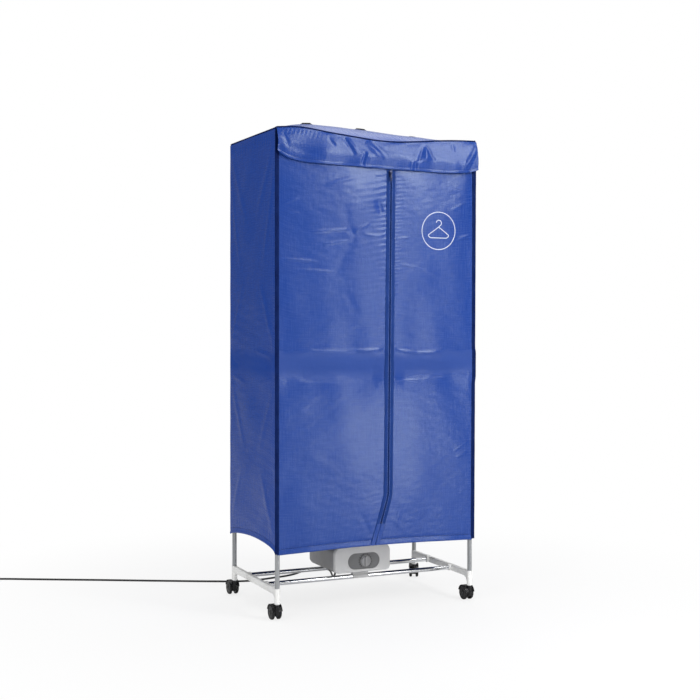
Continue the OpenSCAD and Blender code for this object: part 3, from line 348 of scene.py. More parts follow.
caster_gloss = glossy_nylon("caster_black", (0.006, 0.006, 0.007), 0.26)
wheel_gloss = glossy_nylon("wheel_black", (0.008, 0.008, 0.009), 0.36)
bright_steel = textured(
    "stem_steel", (0.60, 0.60, 0.61), 0.25, (0.003, 0.2, 0.36, (1, 1, 6)), metal=1.0)
form_of("stems", ["caster_stems"], bright_steel, soften=0.0003)
for corner in CORNERS:
    form_of(f"guard_{corner}", [f"caster_housing_{corner}"], caster_gloss,
            body=f"caster_{corner}", soften=0.0005)
    form_of(f"axle_{corner}", [f"caster_axle_{corner}"], bright_steel,
            body=f"wheels_{corner}", soften=0.0004)
    form_of(f"wheel_pair_{corner}", [f"caster_wheels_{corner}"], wheel_gloss,
            body=f"wheels_{corner}", soften=0.0004)

# -------- heater
# Small fan heater in grey moulded ABS: a tub closed by a lid with the warm-air
# outlet, a pale front bezel round an oval plate, and the timer's knob.
def grey_abs(name, dark, light, rough=0.42):
    return textured(name, light, rough, (0.015, rough * 0.85, rough * 1.2),
                    (0.0010, 0.00005), (0.04, dark, light))


def built(name, bm, finish):
    """The faces in bm as a new piece."""
    mesh = bpy.data.meshes.new(name)
    bm.to_mesh(mesh)
    bm.free()
    return piece_of(name, mesh, finish)


tub_grey = grey_abs("heater_grey", (0.26, 0.26, 0.262), (0.30, 0.30, 0.303))
bezel_pale = grey_abs("bezel_grey", (0.55, 0.55, 0.55), (0.60, 0.60, 0.60), 0.36)
plate_dark = grey_abs("plate_grey", (0.135, 0.137, 0.14), (0.16, 0.162, 0.165), 0.40)
knob_mid = grey_abs("knob_grey", (0.27, 0.27, 0.275), (0.31, 0.31, 0.315), 0.32)
inner_dark = grey_abs("inner_black", (0.016, 0.016, 0.017), (0.024, 0.024, 0.025), 0.5)
inner_pale = grey_abs("inner_ivory", (0.62, 0.58, 0.48), (0.70, 0.66, 0.56), 0.45)
fin_metal = textured("element_metal", (0.62, 0.60, 0.57), 0.35, (0.004, 0.28, 0.5), metal=1.0)

form_of("tub", ["heater_tub"], tub_grey, soften=0.0004)
form_of("lid", ["heater_lid"], tub_grey, soften=0.0004)
form_of("bezel", ["heater_bezel"], bezel_pale, soften=0.0006)
form_of("plate", ["control_plate"], plate_dark, soften=0.0002)
form_of("dial", ["timer_knob"], knob_mid, body="knob", soften=0.0006, steps=3)
SCALE_RADIUS = 0.0212
SCALE_TICK = (0.0019, 0.0005, 0.0042)
knob_low, knob_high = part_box("timer_knob")
plate_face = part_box("control_plate")[0].y
centre = Vector(((knob_low.x + knob_high.x) / 2, plate_face - 0.0002,
                 (knob_low.z + knob_high.z) / 2))
bm = bmesh.new()
for turn in range(-140, 141, 20):
    bmesh.ops.create_cube(bm, size=1, matrix=Matrix.Translation(centre)
                          @ Matrix.Rotation(radians(turn), 4, "Y")
                          @ Matrix.Translation((0, 0, SCALE_RADIUS))
                          @ Matrix.Diagonal((*SCALE_TICK, 1)))
belongs(built("scale_marks", bm, inner_dark), "cabinet")
form_of("timer_case", ["timer"], inner_pale, soften=0.0005)
form_of("motor", ["fan_motor"], inner_dark, soften=0.0005)
form_of("impeller", ["fan_impeller"], inner_dark, body="fan", soften=0.0002)
form_of("element", ["heating_element"], fin_metal)
form_of("cut_out", ["thermal_cutout"], inner_pale, soften=0.0004)
form_of("grille", ["intake_grille"], inner_dark, soften=0.0003)
form_of("rail_clips", ["rail_saddles"], bezel_pale, soften=0.0005)
form_of("clip_screws", ["heater_screws"], bright_steel, soften=0.0003)

# -------- cover cloth
# Coated royal-blue nylon with a silvery sheen, cut into flat panels and sewn to the
# piping and the bindings. The poles stretch it, and the middle tier shows through.
FACE_X = 335.3
FACE_Y = 200.3
EDGE_Z = 1449
TOP_Z = 1446.3
HEM_Z = 196
MID_Z = 727
FLAP_Z = 1347
HINGE_X = 323.8
TAPE = 15
LEAN = 7
DULL_Z = 0.777  # metres, with the noise: the band that the middle tier stretches


def hump(x, at, wide):
    return np.exp(-((x - at) / wide) ** 2)


def clamp01(t):
    return np.clip(t, 0, 1)


def smooth(t):
    t = clamp01(t)
    return t * t * (3 - 2 * t)


def inside(t, margin):
    """0 at both ends of a cut and 1 beyond the margin."""
    return clamp01(t / margin) * clamp01((1 - t) / margin)


def seam_z(x):
    """Height of the seam that joins roof, header and flap along the front."""
    return EDGE_Z + 8 * hump(x, -260, 75) - 19 * hump(x, 40, 165)


def flap_foot(x):
    """Lower edge of the flap: it droops to the right and lifts at both ends."""
    lift = np.where(x < 0, 32 * (np.abs(x) / FACE_X) ** 9, 14 * (np.abs(x) / FACE_X) ** 8)
    return FLAP_Z - 0.02 * x + lift


def door_top(x):
    return flap_foot(x) - 2.5


def front_hem(x):
    return HEM_Z - 2 + 7 * np.cos(np.radians(90 * x / FACE_X))


def side_hem(y):
    """Lower edge of a side, a low arch between the poles."""
    along = clamp01((y + FACE_Y) / (2 * FACE_Y)) ** 0.75
    return HEM_Z + 25 * np.clip(np.sin(pi * along), 0, 1) ** 0.6


def right_x(z):
    """Outer face of the right side, which leans out towards the top."""
    return FACE_X + LEAN * clamp01((z - HEM_Z) / (EDGE_Z - HEM_Z))


def sleeve(z):
    """How far the middle tier's sleeves push the right corner outwards."""
    return 2.4 * clamp01((z - 688) / 16) * clamp01((796 - z) / 12)


def zip_x(z):
    """Middle of the zip: straight from the flap down, drawn to the left at its foot."""
    return 32 + (z - HEM_Z) * 12 / (FLAP_Z - HEM_Z) - 44 * clamp01((350 - z) / 154) ** 1.1


def folds(u, v, belly, crease, slack):
    """How far a panel stands out: its belly, a slack diagonal and the tier's crease."""
    tier = (MID_Z - HEM_Z) / (EDGE_Z - HEM_Z)
    above = v >= tier
    phase = np.where(above, pi * (v - tier) / (1 - tier), pi * v / tier)
    side = np.sin(pi * u)
    return side * (belly * (0.35 + 0.65 * np.abs(np.sin(phase)))
                   + slack * np.sin(2 * pi * (1.2 * u + 1.6 * v))
                   - crease * hump(v, tier, 0.016))


def ridge(a, b, start, end, rise, wide):
    """A crease from start to end that rises in the middle and dies out at its ends."""
    (p, q), (r, s) = start, end
    long = sqrt((r - p) ** 2 + (s - q) ** 2)
    along = ((a - p) * (r - p) + (b - q) * (s - q)) / long ** 2
    off = ((a - p) * (s - q) - (b - q) * (r - p)) / long
    return rise * np.exp(-(off / wide) ** 2) * np.sin(pi * clamp01(along)) ** 0.7


def ripple(a, b, seed, count, short, wide, rise):
    """Soft unevenness: waves from short to wide millimetres long in all directions."""
    draw = np.random.default_rng(seed)
    total = 0
    for _ in range(count):
        turn, wave, start = draw.uniform(0, pi), draw.uniform(short, wide), draw.uniform(0, 6.3)
        total = total + np.sin(2 * pi * (a * cos(turn) + b * sin(turn)) / wave + start)
    return rise * total / sqrt(count)


def sheen_nylon(name, dark, light, gloss):
    """Woven nylon: colour and gloss vary with the threads, which run along the cut."""
    made = finish_of(name, light, 0.30, Specular_IOR_Level=gloss,
                     Specular_Tint=(0.90, 1.0, 0.98, 1))
    cloud = speckle(made, 0.16, detail=4.0, source="UV")
    warp = speckle(made, 0.0022, stretch=(1, 0.035, 1), detail=2.0, source="UV")
    weft = speckle(made, 0.0022, stretch=(0.035, 1, 1), detail=2.0, source="UV")
    threads = combine(made, "ADD", warp, weft)
    both = spread(made, combine(made, "ADD", threads, cloud), 0, 1, 0.7, 2.3)
    on_shader(made, "Base Color", tint(made, both, dark, light, 0.0, 1.0))
    height = wire(made, "ShaderNodeSeparateXYZ", {"Vector": place_of(made)}).outputs["Z"]
    height = combine(made, "MULTIPLY_ADD", speckle(made, 0.12), 0.05, height)
    off = combine(made, "ABSOLUTE", combine(made, "SUBTRACT", height, DULL_Z))
    dull = spread(made, off, 0.30, 0.0, 0.014, 0.040)
    on_shader(made, "Roughness",
              combine(made, "ADD", spread(made, threads, 0.25, 0.29, 0.75, 1.25), dull))
    weave = relief(made, threads, 0.00004)
    on_shader(made, "Normal", relief(made, speckle(made, 0.011, detail=2.0, source="UV"),
                                     0.00035, over=weave))
    return made


DEEP, BRIGHT = (0.010, 0.043, 0.250), (0.015, 0.058, 0.300)
cloth_blue = sheen_nylon("cloth_blue", DEEP, BRIGHT, 0.37)
cloth_side = sheen_nylon("cloth_side", (0.008, 0.047, 0.295), (0.013, 0.064, 0.345), 0.12)
cloth_shade = sheen_nylon("cloth_shade", DEEP, BRIGHT, 0.2)
# The roof is the same nylon as the other panels, but its colour is a lighter, greyer blue:
# painted light, for the light that the top catches from above.
cloth_roof = sheen_nylon("cloth_roof", (0.030, 0.075, 0.33), (0.045, 0.10, 0.38), 0.22)


def thicken(piece, thick, offset):
    bpy.ops.object.modifier_add(type="SOLIDIFY")
    piece.modifiers[-1].thickness = thick
    piece.modifiers[-1].offset = offset
    bpy.ops.object.modifier_apply(modifier=piece.modifiers[-1].name)


def cloth(name, across, up, shape, cut, finish, stands_for=(), body="cabinet",
          thick=0.0011):
    """One cut of cloth: shape(u, v) gives its outer face in millimetres, and cut its
    width and length in metres, along which the threads run."""
    u, v = np.meshgrid(np.linspace(0, 1, across + 1), np.linspace(0, 1, up + 1))
    spots = np.stack([np.broadcast_to(c, u.shape) for c in shape(u, v)], -1)
    spots = spots.reshape(-1, 3) / 1000 + np.array(STAND)
    w = across + 1
    quads = [(i * w + j, i * w + j + 1, (i + 1) * w + j + 1, (i + 1) * w + j)
             for i in range(up) for j in range(across)]
    mesh = bpy.data.meshes.new(name)
    mesh.from_pydata(spots.tolist(), [], quads)
    layer = mesh.uv_layers.new(name="cut")
    flat = np.stack([u * cut[0], v * cut[1]], -1).reshape(-1, 2)
    index = np.empty(len(mesh.loops), dtype=np.int32)
    mesh.loops.foreach_get("vertex_index", index)
    layer.data.foreach_set("uv", flat[index].astype(np.float32).ravel())
    piece = piece_of(name, mesh, finish)
    thicken(piece, thick, -1)
    bpy.ops.object.shade_smooth_by_angle(angle=radians(60))
    return belongs(piece, body, stands_for)


# -------- front halves
# Two halves of the front hang between the corner bindings and the zip's tapes. On the
# cover each swings about its corner once the zip is open, and its outer strip stays sewn
# there; here both are built in place and carried by no body.
SIDES = ((-1, "left"), (1, "right"))
GROOVE_Z, GROOVE_WIDE = 720, (34, 38)  # the tier's groove, its width above and below
SEAM_GROOVE = 16.5  # from the hem's foot to its row of stitches
FRONT_CREASES = [
    ((-316, 1227), (-262, 1246), 1.6, 4), ((-322, 1196), (-262, 1204), 1.0, 4),
    ((-225, 1147), (-100, 1158), 2.0, 4), ((-185, 1110), (-88, 1125), 1.4, 4),
    ((-50, 1145), (16, 1138), 1.5, 4), ((-84, 1150), (-28, 1179), 1.4, 5),
    ((-318, 1065), (-200, 1059), 1.7, 3.5), ((-275, 1034), (-138, 1029), 1.1, 4),
    ((-175, 1289), (-62, 1320), 1.1, 5), ((-100, 1168), (-80, 1138), -1.6, 8),
    ((-120, 1240), (-95, 1160), -0.8, 14), ((-150, 1010), (-70, 1150), -0.9, 16),
    ((-110, 980), (-70, 900), -0.7, 12),
    ((-75, 790), (18, 796), 2.6, 3.8), ((55, 795), (130, 783), 2.6, 3.8),
    ((115, 783), (215, 785), 2.0, 3.8), ((-250, 792), (-90, 786), 1.0, 6),
    ((-270, 699), (-120, 693), 0.6, 5), ((66, 698), (170, 699), 1.1, 3.5),
    ((150, 700), (262, 706), 0.6, 5), ((262, 477), (315, 500), 1.4, 5),
    ((270, 455), (312, 470), 1.2, 5),
    ((60, 1134), (108, 1138), 1.3, 4), ((70, 1057), (150, 1042), 1.2, 4),
    ((140, 1045), (200, 1029), 0.9, 4), ((250, 1226), (312, 1256), 0.8, 6),
    ((300, 1252), (334, 1243), 0.8, 5), ((275, 1139), (330, 1152), 1.7, 5),
    ((230, 1270), (320, 1290), -0.3, 16), ((-5, 1250), (14, 1205), -2.2, 10),
    ((-300, 640), (-220, 600), 0.7, 10), ((80, 330), (60, 250), 0.9, 8),
    ((-60, 300), (-20, 225), -0.9, 9), ((30, 290), (120, 215), 0.7, 9),
    ((-240, 480), (-120, 420), 0.6, 18),
]


def front_relief(x, z):
    """What the front's cloth does beside its main folds, in millimetres outwards: its
    creases, the groove at the middle tier and the puckers that run out from the zip."""
    out = sum(ridge(x, z, *crease) for crease in FRONT_CREASES)
    left, right = zip_x(z) - TAPE - x, x - zip_x(z) - TAPE
    left, right = (np.where(away > -2, np.clip(away, 0, None), 900) for away in (left, right))
    wander = 1.4 * np.sin(z / 61.0) + 1.1 * np.sin(z / 27.0)
    left_pull = 0.6 * np.exp(-left / 16) + 0.17 * np.exp(-left / 75)
    right_pull = 0.6 * np.exp(-right / 10) + 0.12 * np.exp(-right / 45)
    sway = 4 * np.sin(x / 71.0) + 2.5 * np.sin(x / 23.0 + 1)
    deep = 4.6 + 0.6 * np.sin(x / 37.0)
    groove = GROOVE_Z + sway
    inner = smooth((335 - np.abs(x)) / 95) * smooth(np.minimum(left, right) / 45)
    out = out - inner * deep * hump(z, groove, np.where(z > groove, *GROOVE_WIDE))
    out = out + inner * 1.8 * hump(z, 788 - 0.6 * sway, 11)
    pulled = 0.2 + 0.8 * clamp01((z - 760) / 90)
    wave = np.sin(2 * pi * (z + 0.16 * np.minimum(left, 300)) / 17.0 + wander)
    crisp = 0.4 * wave + 0.6 * np.abs(wave) ** 3 * np.sign(wave)
    out = out + 1.1 * pulled * left_pull * crisp
    out = out + 0.9 * pulled * right_pull * np.sin(2 * pi * (z - 0.1 * right) / 11.5 + wander)
    out = out + ripple(x, z, 11, 9, 90, 260, 0.55) + ripple(x, 3 * z, 12, 10, 40, 110, 0.13)
    out = out - 1.3 * hump(z - front_hem(x), SEAM_GROOVE, 3.2)
    return out + ripple(x, 0.25 * z, 13, 12, 14, 34, 0.035)


def front_out(x, z, side):
    """Distance of the front's cloth from the flat of the cover, outwards."""
    v = (z - front_hem(x)) / (door_top(x) - front_hem(x))
    zip_side = zip_x(HEM_Z + v * (FLAP_Z - HEM_Z)) + side * TAPE
    u = clamp01((x - side * HINGE_X) / (zip_side - side * HINGE_X))
    slack = smooth((z - 1090) / 150) * (1 - 0.6 * smooth((z - 1290) / 57))
    slack = slack * np.sin(pi * u ** (0.85 if side < 0 else 0.52))
    return (folds(u, v * 0.92, 0.9, 3.5, 0.6) + 5.4 * slack
            + front_relief(x, z) * clamp01(u / 0.07) * clamp01((1.06 - u) / 0.1))


def swings(piece):
    """Bakes the piece's placement into its mesh."""
    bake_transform(piece)


def front_half(side):
    def shape(u, v):
        level = HEM_Z + v * (FLAP_Z - HEM_Z)
        hinge = side * (HINGE_X + 5)
        inner = zip_x(level) + side * (TAPE - 2.5)
        x = hinge + (inner - hinge) * (u if side < 0 else 1 - u)
        z = front_hem(x) + v * (door_top(x) - front_hem(x))
        return x, -FACE_Y - front_out(x, z, side) + 0.15, z
    return shape


for side, name in SIDES:
    wide = (HINGE_X + 5 + side * -32 - TAPE + 2.5) / 1000
    half = cloth(f"front_{name}", 92, 430, front_half(side), (wide, 1.15), cloth_blue,
                 [f"door_{name}"], body=None)
    swings(half)

# -------- sides and back
# Side and back panels reach from the roof's piping to their hems. The side hems rise
# in a low arch between the poles, and the right side leans out a little at the top.
SIDE_PULLS = [
    (0.9, 752, 0.6, 742, -1.8, 9), (0.9, 772, 0.2, 792, 1.6, 6),
    (0.88, 706, 0.3, 690, 1.3, 7), (0.95, 1420, 0.2, 1180, 2.0, 16),
    (0.97, 1330, 0.5, 1040, 1.6, 13), (0.95, 800, 0.35, 1010, 1.6, 13),
    (0.95, 690, 0.3, 480, 1.8, 15), (0.95, 240, 0.4, 430, 1.6, 14),
]
SIDE_FOLDS = (2.5, 1.5, 1.2)
BACK_FOLDS = (3, 3.5, 1.4)
EDGE = 0.05  # share of a panel's width over which its relief dies out


def panel_relief(a, z, seed, half=200):
    """What a side or the back does beside its main folds: pulls from its corners and
    from the middle tier, gathers along its seam and hem, and soft unevenness."""
    out = ripple(a, z, seed, 9, 90, 240, 0.7) + ripple(a, 3 * z, seed + 1, 8, 40, 120, 0.2)
    for edge in (-half, half):
        for near, low, far, high, rise, wide in SIDE_PULLS:
            out = out + ridge(a, z, (edge * near, low), (edge * far, high), rise, wide)
    out = out + 0.7 * hump(z, TOP_Z - 22, 20) * np.sin(2 * pi * a / 14 + 2 * np.sin(a / 31))
    out = out + 0.5 * hump(z, HEM_Z + 42, 18) * np.sin(2 * pi * a / 19 + 2 * np.sin(a / 43))
    fade = clamp01((z - HEM_Z - 25) / 40) * clamp01((TOP_Z - z) / 8)
    return out * fade


def side_shape(side):
    def shape(u, v):
        across = u if side > 0 else 1 - u
        front = -FACE_Y + 1.8
        y = front + across * (FACE_Y - front)
        z = side_hem(y) + v * (TOP_Z - side_hem(y))
        out = (folds(across, v, *SIDE_FOLDS)
               + panel_relief(y, z, 21 - side) * inside(across, EDGE))
        face = FACE_X
        if side > 0:
            push = np.exp(-across / 0.07) + np.exp((across - 1) / 0.07)
            face = right_x(z) + sleeve(z) * push
        return side * (face + out), y, z
    return shape


def back_shape(u, v):
    z = HEM_Z + 4 + v * (TOP_Z - HEM_Z - 4)
    x0, x1 = -FACE_X + 1.8, right_x(z) - 1.8
    x = x1 + u * (x0 - x1)
    extra = panel_relief(x, z, 31, 335) * inside(u, EDGE)
    return x, FACE_Y + folds(u, v, *BACK_FOLDS) + extra, z


SIDE_CUT, BACK_CUT = (0.399, 1.245), (0.671, 1.246)
SIDE_CLOTH = {"left": cloth_side, "right": cloth_shade}
for side, name in SIDES:
    cloth(f"side_{name}", 110, 300, side_shape(side), SIDE_CUT, SIDE_CLOTH[name],
          [f"cover_{name}"])
cloth("back", 150, 250, back_shape, BACK_CUT, cloth_shade, ["cover_back"])

# -------- header and flap
# A fixed band is sewn under the front piping, and the loose flap is sewn over it. The
# flap is gathered at its seam, rolls outwards over the zip's head and droops.
FLAP_FOLDS = [
    ((-116, 1432), (-84, 1382), -2.6, 5), ((-106, 1434), (-72, 1382), 2.6, 6),
    ((-168, 1428), (-148, 1404), -1.4, 4), ((-158, 1430), (-138, 1404), 1.2, 5),
    ((-47, 1394), (-59, 1352), -2.8, 5), ((-38, 1394), (-50, 1350), 1.6, 5),
    ((-42, 1424), (12, 1374), 2.2, 8), ((-24, 1426), (30, 1378), -1.4, 8),
    ((157, 1428), (130, 1368), -2.4, 5), ((158, 1428), (188, 1374), -2.2, 5),
    ((158, 1420), (160, 1372), 3.0, 9), ((122, 1374), (121, 1340), -2.8, 6),
    ((110, 1372), (108, 1344), 1.4, 6), ((255, 1436), (256, 1408), -1.4, 5),
    ((288, 1350), (340, 1432), 3.4, 8), ((306, 1346), (344, 1412), -2.2, 7),
    ((-300, 1396), (-180, 1372), -1.6, 14), ((-60, 1366), (110, 1362), -1.2, 12),
    ((30, 1396), (110, 1388), 1.2, 12), ((190, 1392), (270, 1372), 1.4, 14),
    ((-316, 1440), (-296, 1392), -1.6, 6), ((-330, 1400), (-318, 1380), -2.0, 8),
]


HEADER_CUT, FLAP_CUT = (0.655, 0.098), (0.69, 0.112)


def flap_shape(u, v):
    """The flap's face; d runs from its seam down to its foot."""
    d = 1 - v
    x = -331.3 + u * (342.3 + 331.3)
    top = seam_z(x) - 2.7
    z = top + d * (flap_foot(x) - top)
    roll = 11 * np.sin(np.radians(150 * d))
    ruffle = 2.4 * d * np.sin(2 * pi * (4.5 * u + 0.35 * d))
    extra = sum(ridge(x, z, *fold) for fold in FLAP_FOLDS)
    pleats = 0.2 * hump(d, 0.12, 0.12) * np.sin(2 * pi * (x + 40 * d) / 13.0)
    pleats = pleats * (0.25 + 0.75 * clamp01((-90 - x) / 120))
    extra = extra + pleats + ripple(x, 2 * z, 41, 9, 50, 130, 0.35)
    flare = 9 * d * u ** 7 + 2.0 * clamp01((d - 0.925) / 0.075) ** 2
    near = clamp01(d / 0.06)
    return x, (-FACE_Y - 1.8 - roll - np.maximum(-0.8 * roll, ruffle + near * extra)
               - flare), z


def header_shape(u, v):
    x = (HINGE_X + 4) * (2 * u - 1)
    low = door_top(x) + 0.5
    return x, -FACE_Y + 0.2 + 0 * x, low + v * (seam_z(x) - 2.7 - low)


cloth("header_band", 90, 16, header_shape, HEADER_CUT, cloth_blue, ["cover_header"])
flap = cloth("flap_over_zip", 210, 46, flap_shape, FLAP_CUT, cloth_blue, ["flap"],
             body=None)
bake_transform(flap)

# -------- roof
# The top panel is drawn up into a low dome by the rods and the caps under it, and it
# is sewn to the piping all round.
ROOF_CUT = (0.69, 0.43)
DOME, CROWN_X = 45, -150


def roof_shape(u, v):
    """A dome, highest to the left of the middle, whose front edge follows the seam."""
    inset = 3.7
    x = -FACE_X + inset + u * (2 * FACE_X + LEAN - 2 * inset)
    y = -FACE_Y + inset + v * 2 * (FACE_Y - inset)
    half = np.where(x < CROWN_X, FACE_X + CROWN_X, FACE_X + LEAN - CROWN_X)
    front = clamp01((FACE_Y - y) / (2 * FACE_Y))
    rim = ((1 - clamp01(np.abs(x - CROWN_X) / half) ** 2)
           * (1 - clamp01(np.abs(y) / FACE_Y) ** 2))
    z = EDGE_Z + (seam_z(x) - EDGE_Z) * front ** 4 + DOME * rim
    return x, y, z + inside(u, 0.04) * inside(v, 0.06) * ripple(x, y, 51, 10, 60, 190, 0.5)


cloth("roof", 130, 84, roof_shape, ROOF_CUT, cloth_roof, ["cover_roof"])

# -------- piping and bindings
# A thick corded piping in navy polyester tape runs round the roof, and tapes of the
# same are folded over the front corners. The rear corners have a thin welt of cloth.
def navy_tape(name, dark, light):
    made = finish_of(name, light, 0.6, Specular_IOR_Level=0.03)
    rib = speckle(made, 0.0016, stretch=(1, 0.3, 1), detail=2.0, source="UV")
    cloud = speckle(made, 0.05, source="UV")
    both = spread(made, combine(made, "ADD", rib, cloud), 0, 1, 0.8, 1.2)
    on_shader(made, "Base Color", tint(made, both, dark, light, 0.0, 1.0))
    on_shader(made, "Roughness", spread(made, rib, 0.46, 0.62))
    on_shader(made, "Normal", relief(made, rib, 0.00018))
    return made


binding_navy = navy_tape("binding_navy", (0.0025, 0.009, 0.062), (0.005, 0.017, 0.098))


def swept(name, path, section, finish, body="cabinet", closed=False,
          stands_for=()):
    """A strip along path, a list of (place, outwards, upwards) in millimetres. The
    section's points lie that far outwards and upwards, and close on themselves."""
    rings, run, last = [], [], None
    for at, out, up in path:
        rings.append([at + out * a + up * b for a, b in section])
        run.append(0 if last is None else run[-1] + (at - last).length)
        last = at
    n, m = len(section), len(rings)
    girth = [0]
    for k in range(n):
        a, b = section[k], section[(k + 1) % n]
        girth.append(girth[-1] + sqrt((a[0] - b[0]) ** 2 + (a[1] - b[1]) ** 2))
    bm = bmesh.new()
    spots = [[bm.verts.new(p / 1000 + STAND) for p in ring] for ring in rings]
    layer = bm.loops.layers.uv.new("cut")
    for i in range(m if closed else m - 1):
        k = (i + 1) % m
        for j in range(n):
            l = (j + 1) % n
            face = bm.faces.new((spots[i][j], spots[i][l], spots[k][l], spots[k][j]))
            reach = run[k] if k else run[-1] + (path[0][0] - path[-1][0]).length
            for loop, uv in zip(face.loops, ((girth[j], run[i]), (girth[j + 1], run[i]),
                                             (girth[j + 1], reach), (girth[j], reach))):
                loop[layer].uv = (uv[0] / 1000, uv[1] / 1000)
    if not closed:
        bm.faces.new(spots[0][::-1])
        bm.faces.new(spots[-1])
    bmesh.ops.recalc_face_normals(bm, faces=bm.faces)
    piece = built(name, bm, finish)
    bpy.ops.object.shade_smooth_by_angle(angle=radians(50))
    return belongs(piece, body, stands_for)


def stitched(name, path, finish, body="cabinet", pitch=3.2, long=2.3,
             thick=0.28):
    """A row of thread stitches along path, each a small lens with pointed ends."""
    bm = bmesh.new()
    spare = 0.0
    for (at, out, _), (to, _, _) in zip(path, path[1:]):
        step = to - at
        length = step.length
        if length < 1e-6:
            continue
        ahead = step / length
        while spare < length:
            middle = at + ahead * spare
            across = ahead.cross(out).normalized()
            ring = [bm.verts.new((middle + (out * cos(t) * 0.7 + across * sin(t)) * thick)
                                 / 1000 + STAND) for t in (0, pi / 2, pi, 3 * pi / 2)]
            tips = [bm.verts.new((middle + ahead * s * long / 2 - out * 0.12) / 1000 + STAND)
                    for s in (-1, 1)]
            for k in range(4):
                bm.faces.new((ring[k], ring[(k + 1) % 4], tips[1]))
                bm.faces.new((ring[(k + 1) % 4], ring[k], tips[0]))
            spare += pitch
        spare -= length
    bmesh.ops.recalc_face_normals(bm, faces=bm.faces)
    piece = built(name, bm, finish)
    bpy.ops.object.shade_smooth()
    return belongs(piece, body)


def thread_of(name, colour):
    return textured(name, colour, 0.5, (0.0012, 0.4, 0.62), (0.0005, 0.00006),
                    Specular_IOR_Level=0.4)


thread_blue = thread_of("thread_blue", (0.05, 0.10, 0.36))
thread_navy = thread_of("thread_navy", (0.010, 0.024, 0.11))
thread_pale = thread_of("thread_pale", (0.26, 0.36, 0.72))
X, Y, Z = Vector((1, 0, 0)), Vector((0, 1, 0)), Vector((0, 0, 1))


def roof_edge(bend=5.0, inset=1.2):
    """The piping's run round the roof: along the front seam, then level round the rest."""
    x0, x1, y1 = -FACE_X + inset, FACE_X + LEAN - inset, FACE_Y - inset
    left_rise = seam_z(x0 + bend) - EDGE_Z
    run = []
    for x in np.linspace(x0 + bend, x1 - bend, 140):
        run.append((Vector((x, -y1, seam_z(x))), -Y))
    for cx, cy, turn in ((x1 - bend, -y1 + bend, -90), (x1 - bend, y1 - bend, 0),
                         (x0 + bend, y1 - bend, 90), (x0 + bend, -y1 + bend, 180)):
        start = len(run)
        for k in range(1 if turn == -90 else 0, 7):
            a = radians(turn + 15 * k)
            z = EDGE_Z + (left_rise * k / 6 if turn == 180 else 0)
            run.append((Vector((cx + bend * cos(a), cy + bend * sin(a), z)),
                        Vector((cos(a), sin(a), 0))))
        if turn < 180:
            a, out = run[-1]
            to = {-90: (x1, y1 - bend), 0: (x0 + bend, y1), 90: (x0, -y1 + bend)}[turn]
            for t in np.linspace(0, 1, 60 if turn == 0 else 40)[1:-1]:
                run.append((a.lerp(Vector((*to, EDGE_Z)), t), out))
    return [(at, out, Z) for at, out in run[:-1]]


def bead(radius, count):
    """A round section."""
    return [(radius * cos(t), radius * sin(t))
            for t in np.linspace(0, 2 * pi, count + 1)[:-1]]


swept("piping", roof_edge(), bead(2.4, 12), binding_navy, closed=True,
      stands_for=["roof_piping"])
CORNER_TAPE = [
    (-0.9, 11.6), (0.35, 11.6), (0.55, 10.9), (0.5, 3.4), (0.9, 2.6), (1.3, 1.6),
    (1.45, 0.5), (1.1, -0.6), (0.2, -1.15), (-0.8, -1.0), (-1.2, -0.45), (-1.6, 0.1),
    (-2.0, 1.3), (-1.4, 2.4), (-0.9, 3.4),
]
WELT = bead(1.35, 8)


def corner_face(side, z):
    return FACE_X if side < 0 else right_x(z) + sleeve(z)


def turned(section, side):
    """The section with its points the other way round on the right, so it faces out."""
    return section[::-1] if side > 0 else section


for side, name in SIDES:
    upright = []
    for z in np.linspace(HEM_Z + 0.5, TOP_Z, 160):
        x = corner_face(side, z)
        wave = 0.35 * sin(z / 23.0) + 0.25 * sin(z / 9.5 + 1)
        upright.append((Vector((side * (x + 0.2 * wave), -FACE_Y - 0.15 * wave, z)),
                        -Y, X * -side))
    swept(f"corner_tape_{name}", upright, turned(CORNER_TAPE, side), binding_navy,
          stands_for=["corner_bindings"])
    row = [(at + X * -side * 9.4 - Y * 0.66, -Y, Z) for at, _, _ in upright]
    stitched(f"corner_stitches_{name}", row, thread_navy)

for side, name in SIDES:
    upright = [(Vector((side * (corner_face(side, z) - 0.5 + 0.15 * sin(z / 19.0)),
                        FACE_Y - 0.5, z)), Y, X * side)
               for z in np.linspace(HEM_Z + 2, TOP_Z, 160)]
    swept(f"rear_welt_{name}", upright, turned(WELT, side), SIDE_CLOTH[name])
    row = [(at + Y * 1.1 - X * side * 5.5, Y, Z) for at, _, _ in upright]
    stitched(f"rear_stitches_{name}", row, thread_navy)

# -------- hems
# Each lower edge is turned up and sewn with a row of navy stitches that draws a shallow
# groove. The front's hems, like its halves, are built in place and carried by no body,
# and the flap's edge has a narrower one.
BAND = [(0.0, 14.6), (0.45, 13.4), (0.55, 10.5), (0.9, 8.0), (1.9, 4.6), (2.2, 2.6),
        (1.8, 0.6), (0.8, -0.8), (-0.5, -1.3), (-1.5, -0.9), (-1.9, 0.2), (-1.9, 13.6),
        (-1.5, 14.4)]
HEM_SEAM = 16.0
FOLD = [(0.42, 7.6), (0.55, 7.0), (0.6, 0.6), (0.2, -0.4), (-0.9, -0.6), (-1.5, 0.4),
        (-1.5, 7.0), (-1.1, 7.6)]
HEM_LEVEL = 0.004


def hem_of(name, path, finish, body="cabinet"):
    """A hem and its stitches along path, with the points that each is made from."""
    row = [(at + out * 0.3 + up * HEM_SEAM, out, up) for at, out, up in path]
    return (swept(f"hem_{name}", path, BAND, finish, body=body),
            stitched(f"hem_stitches_{name}", row, thread_navy, body=body, thick=0.62))


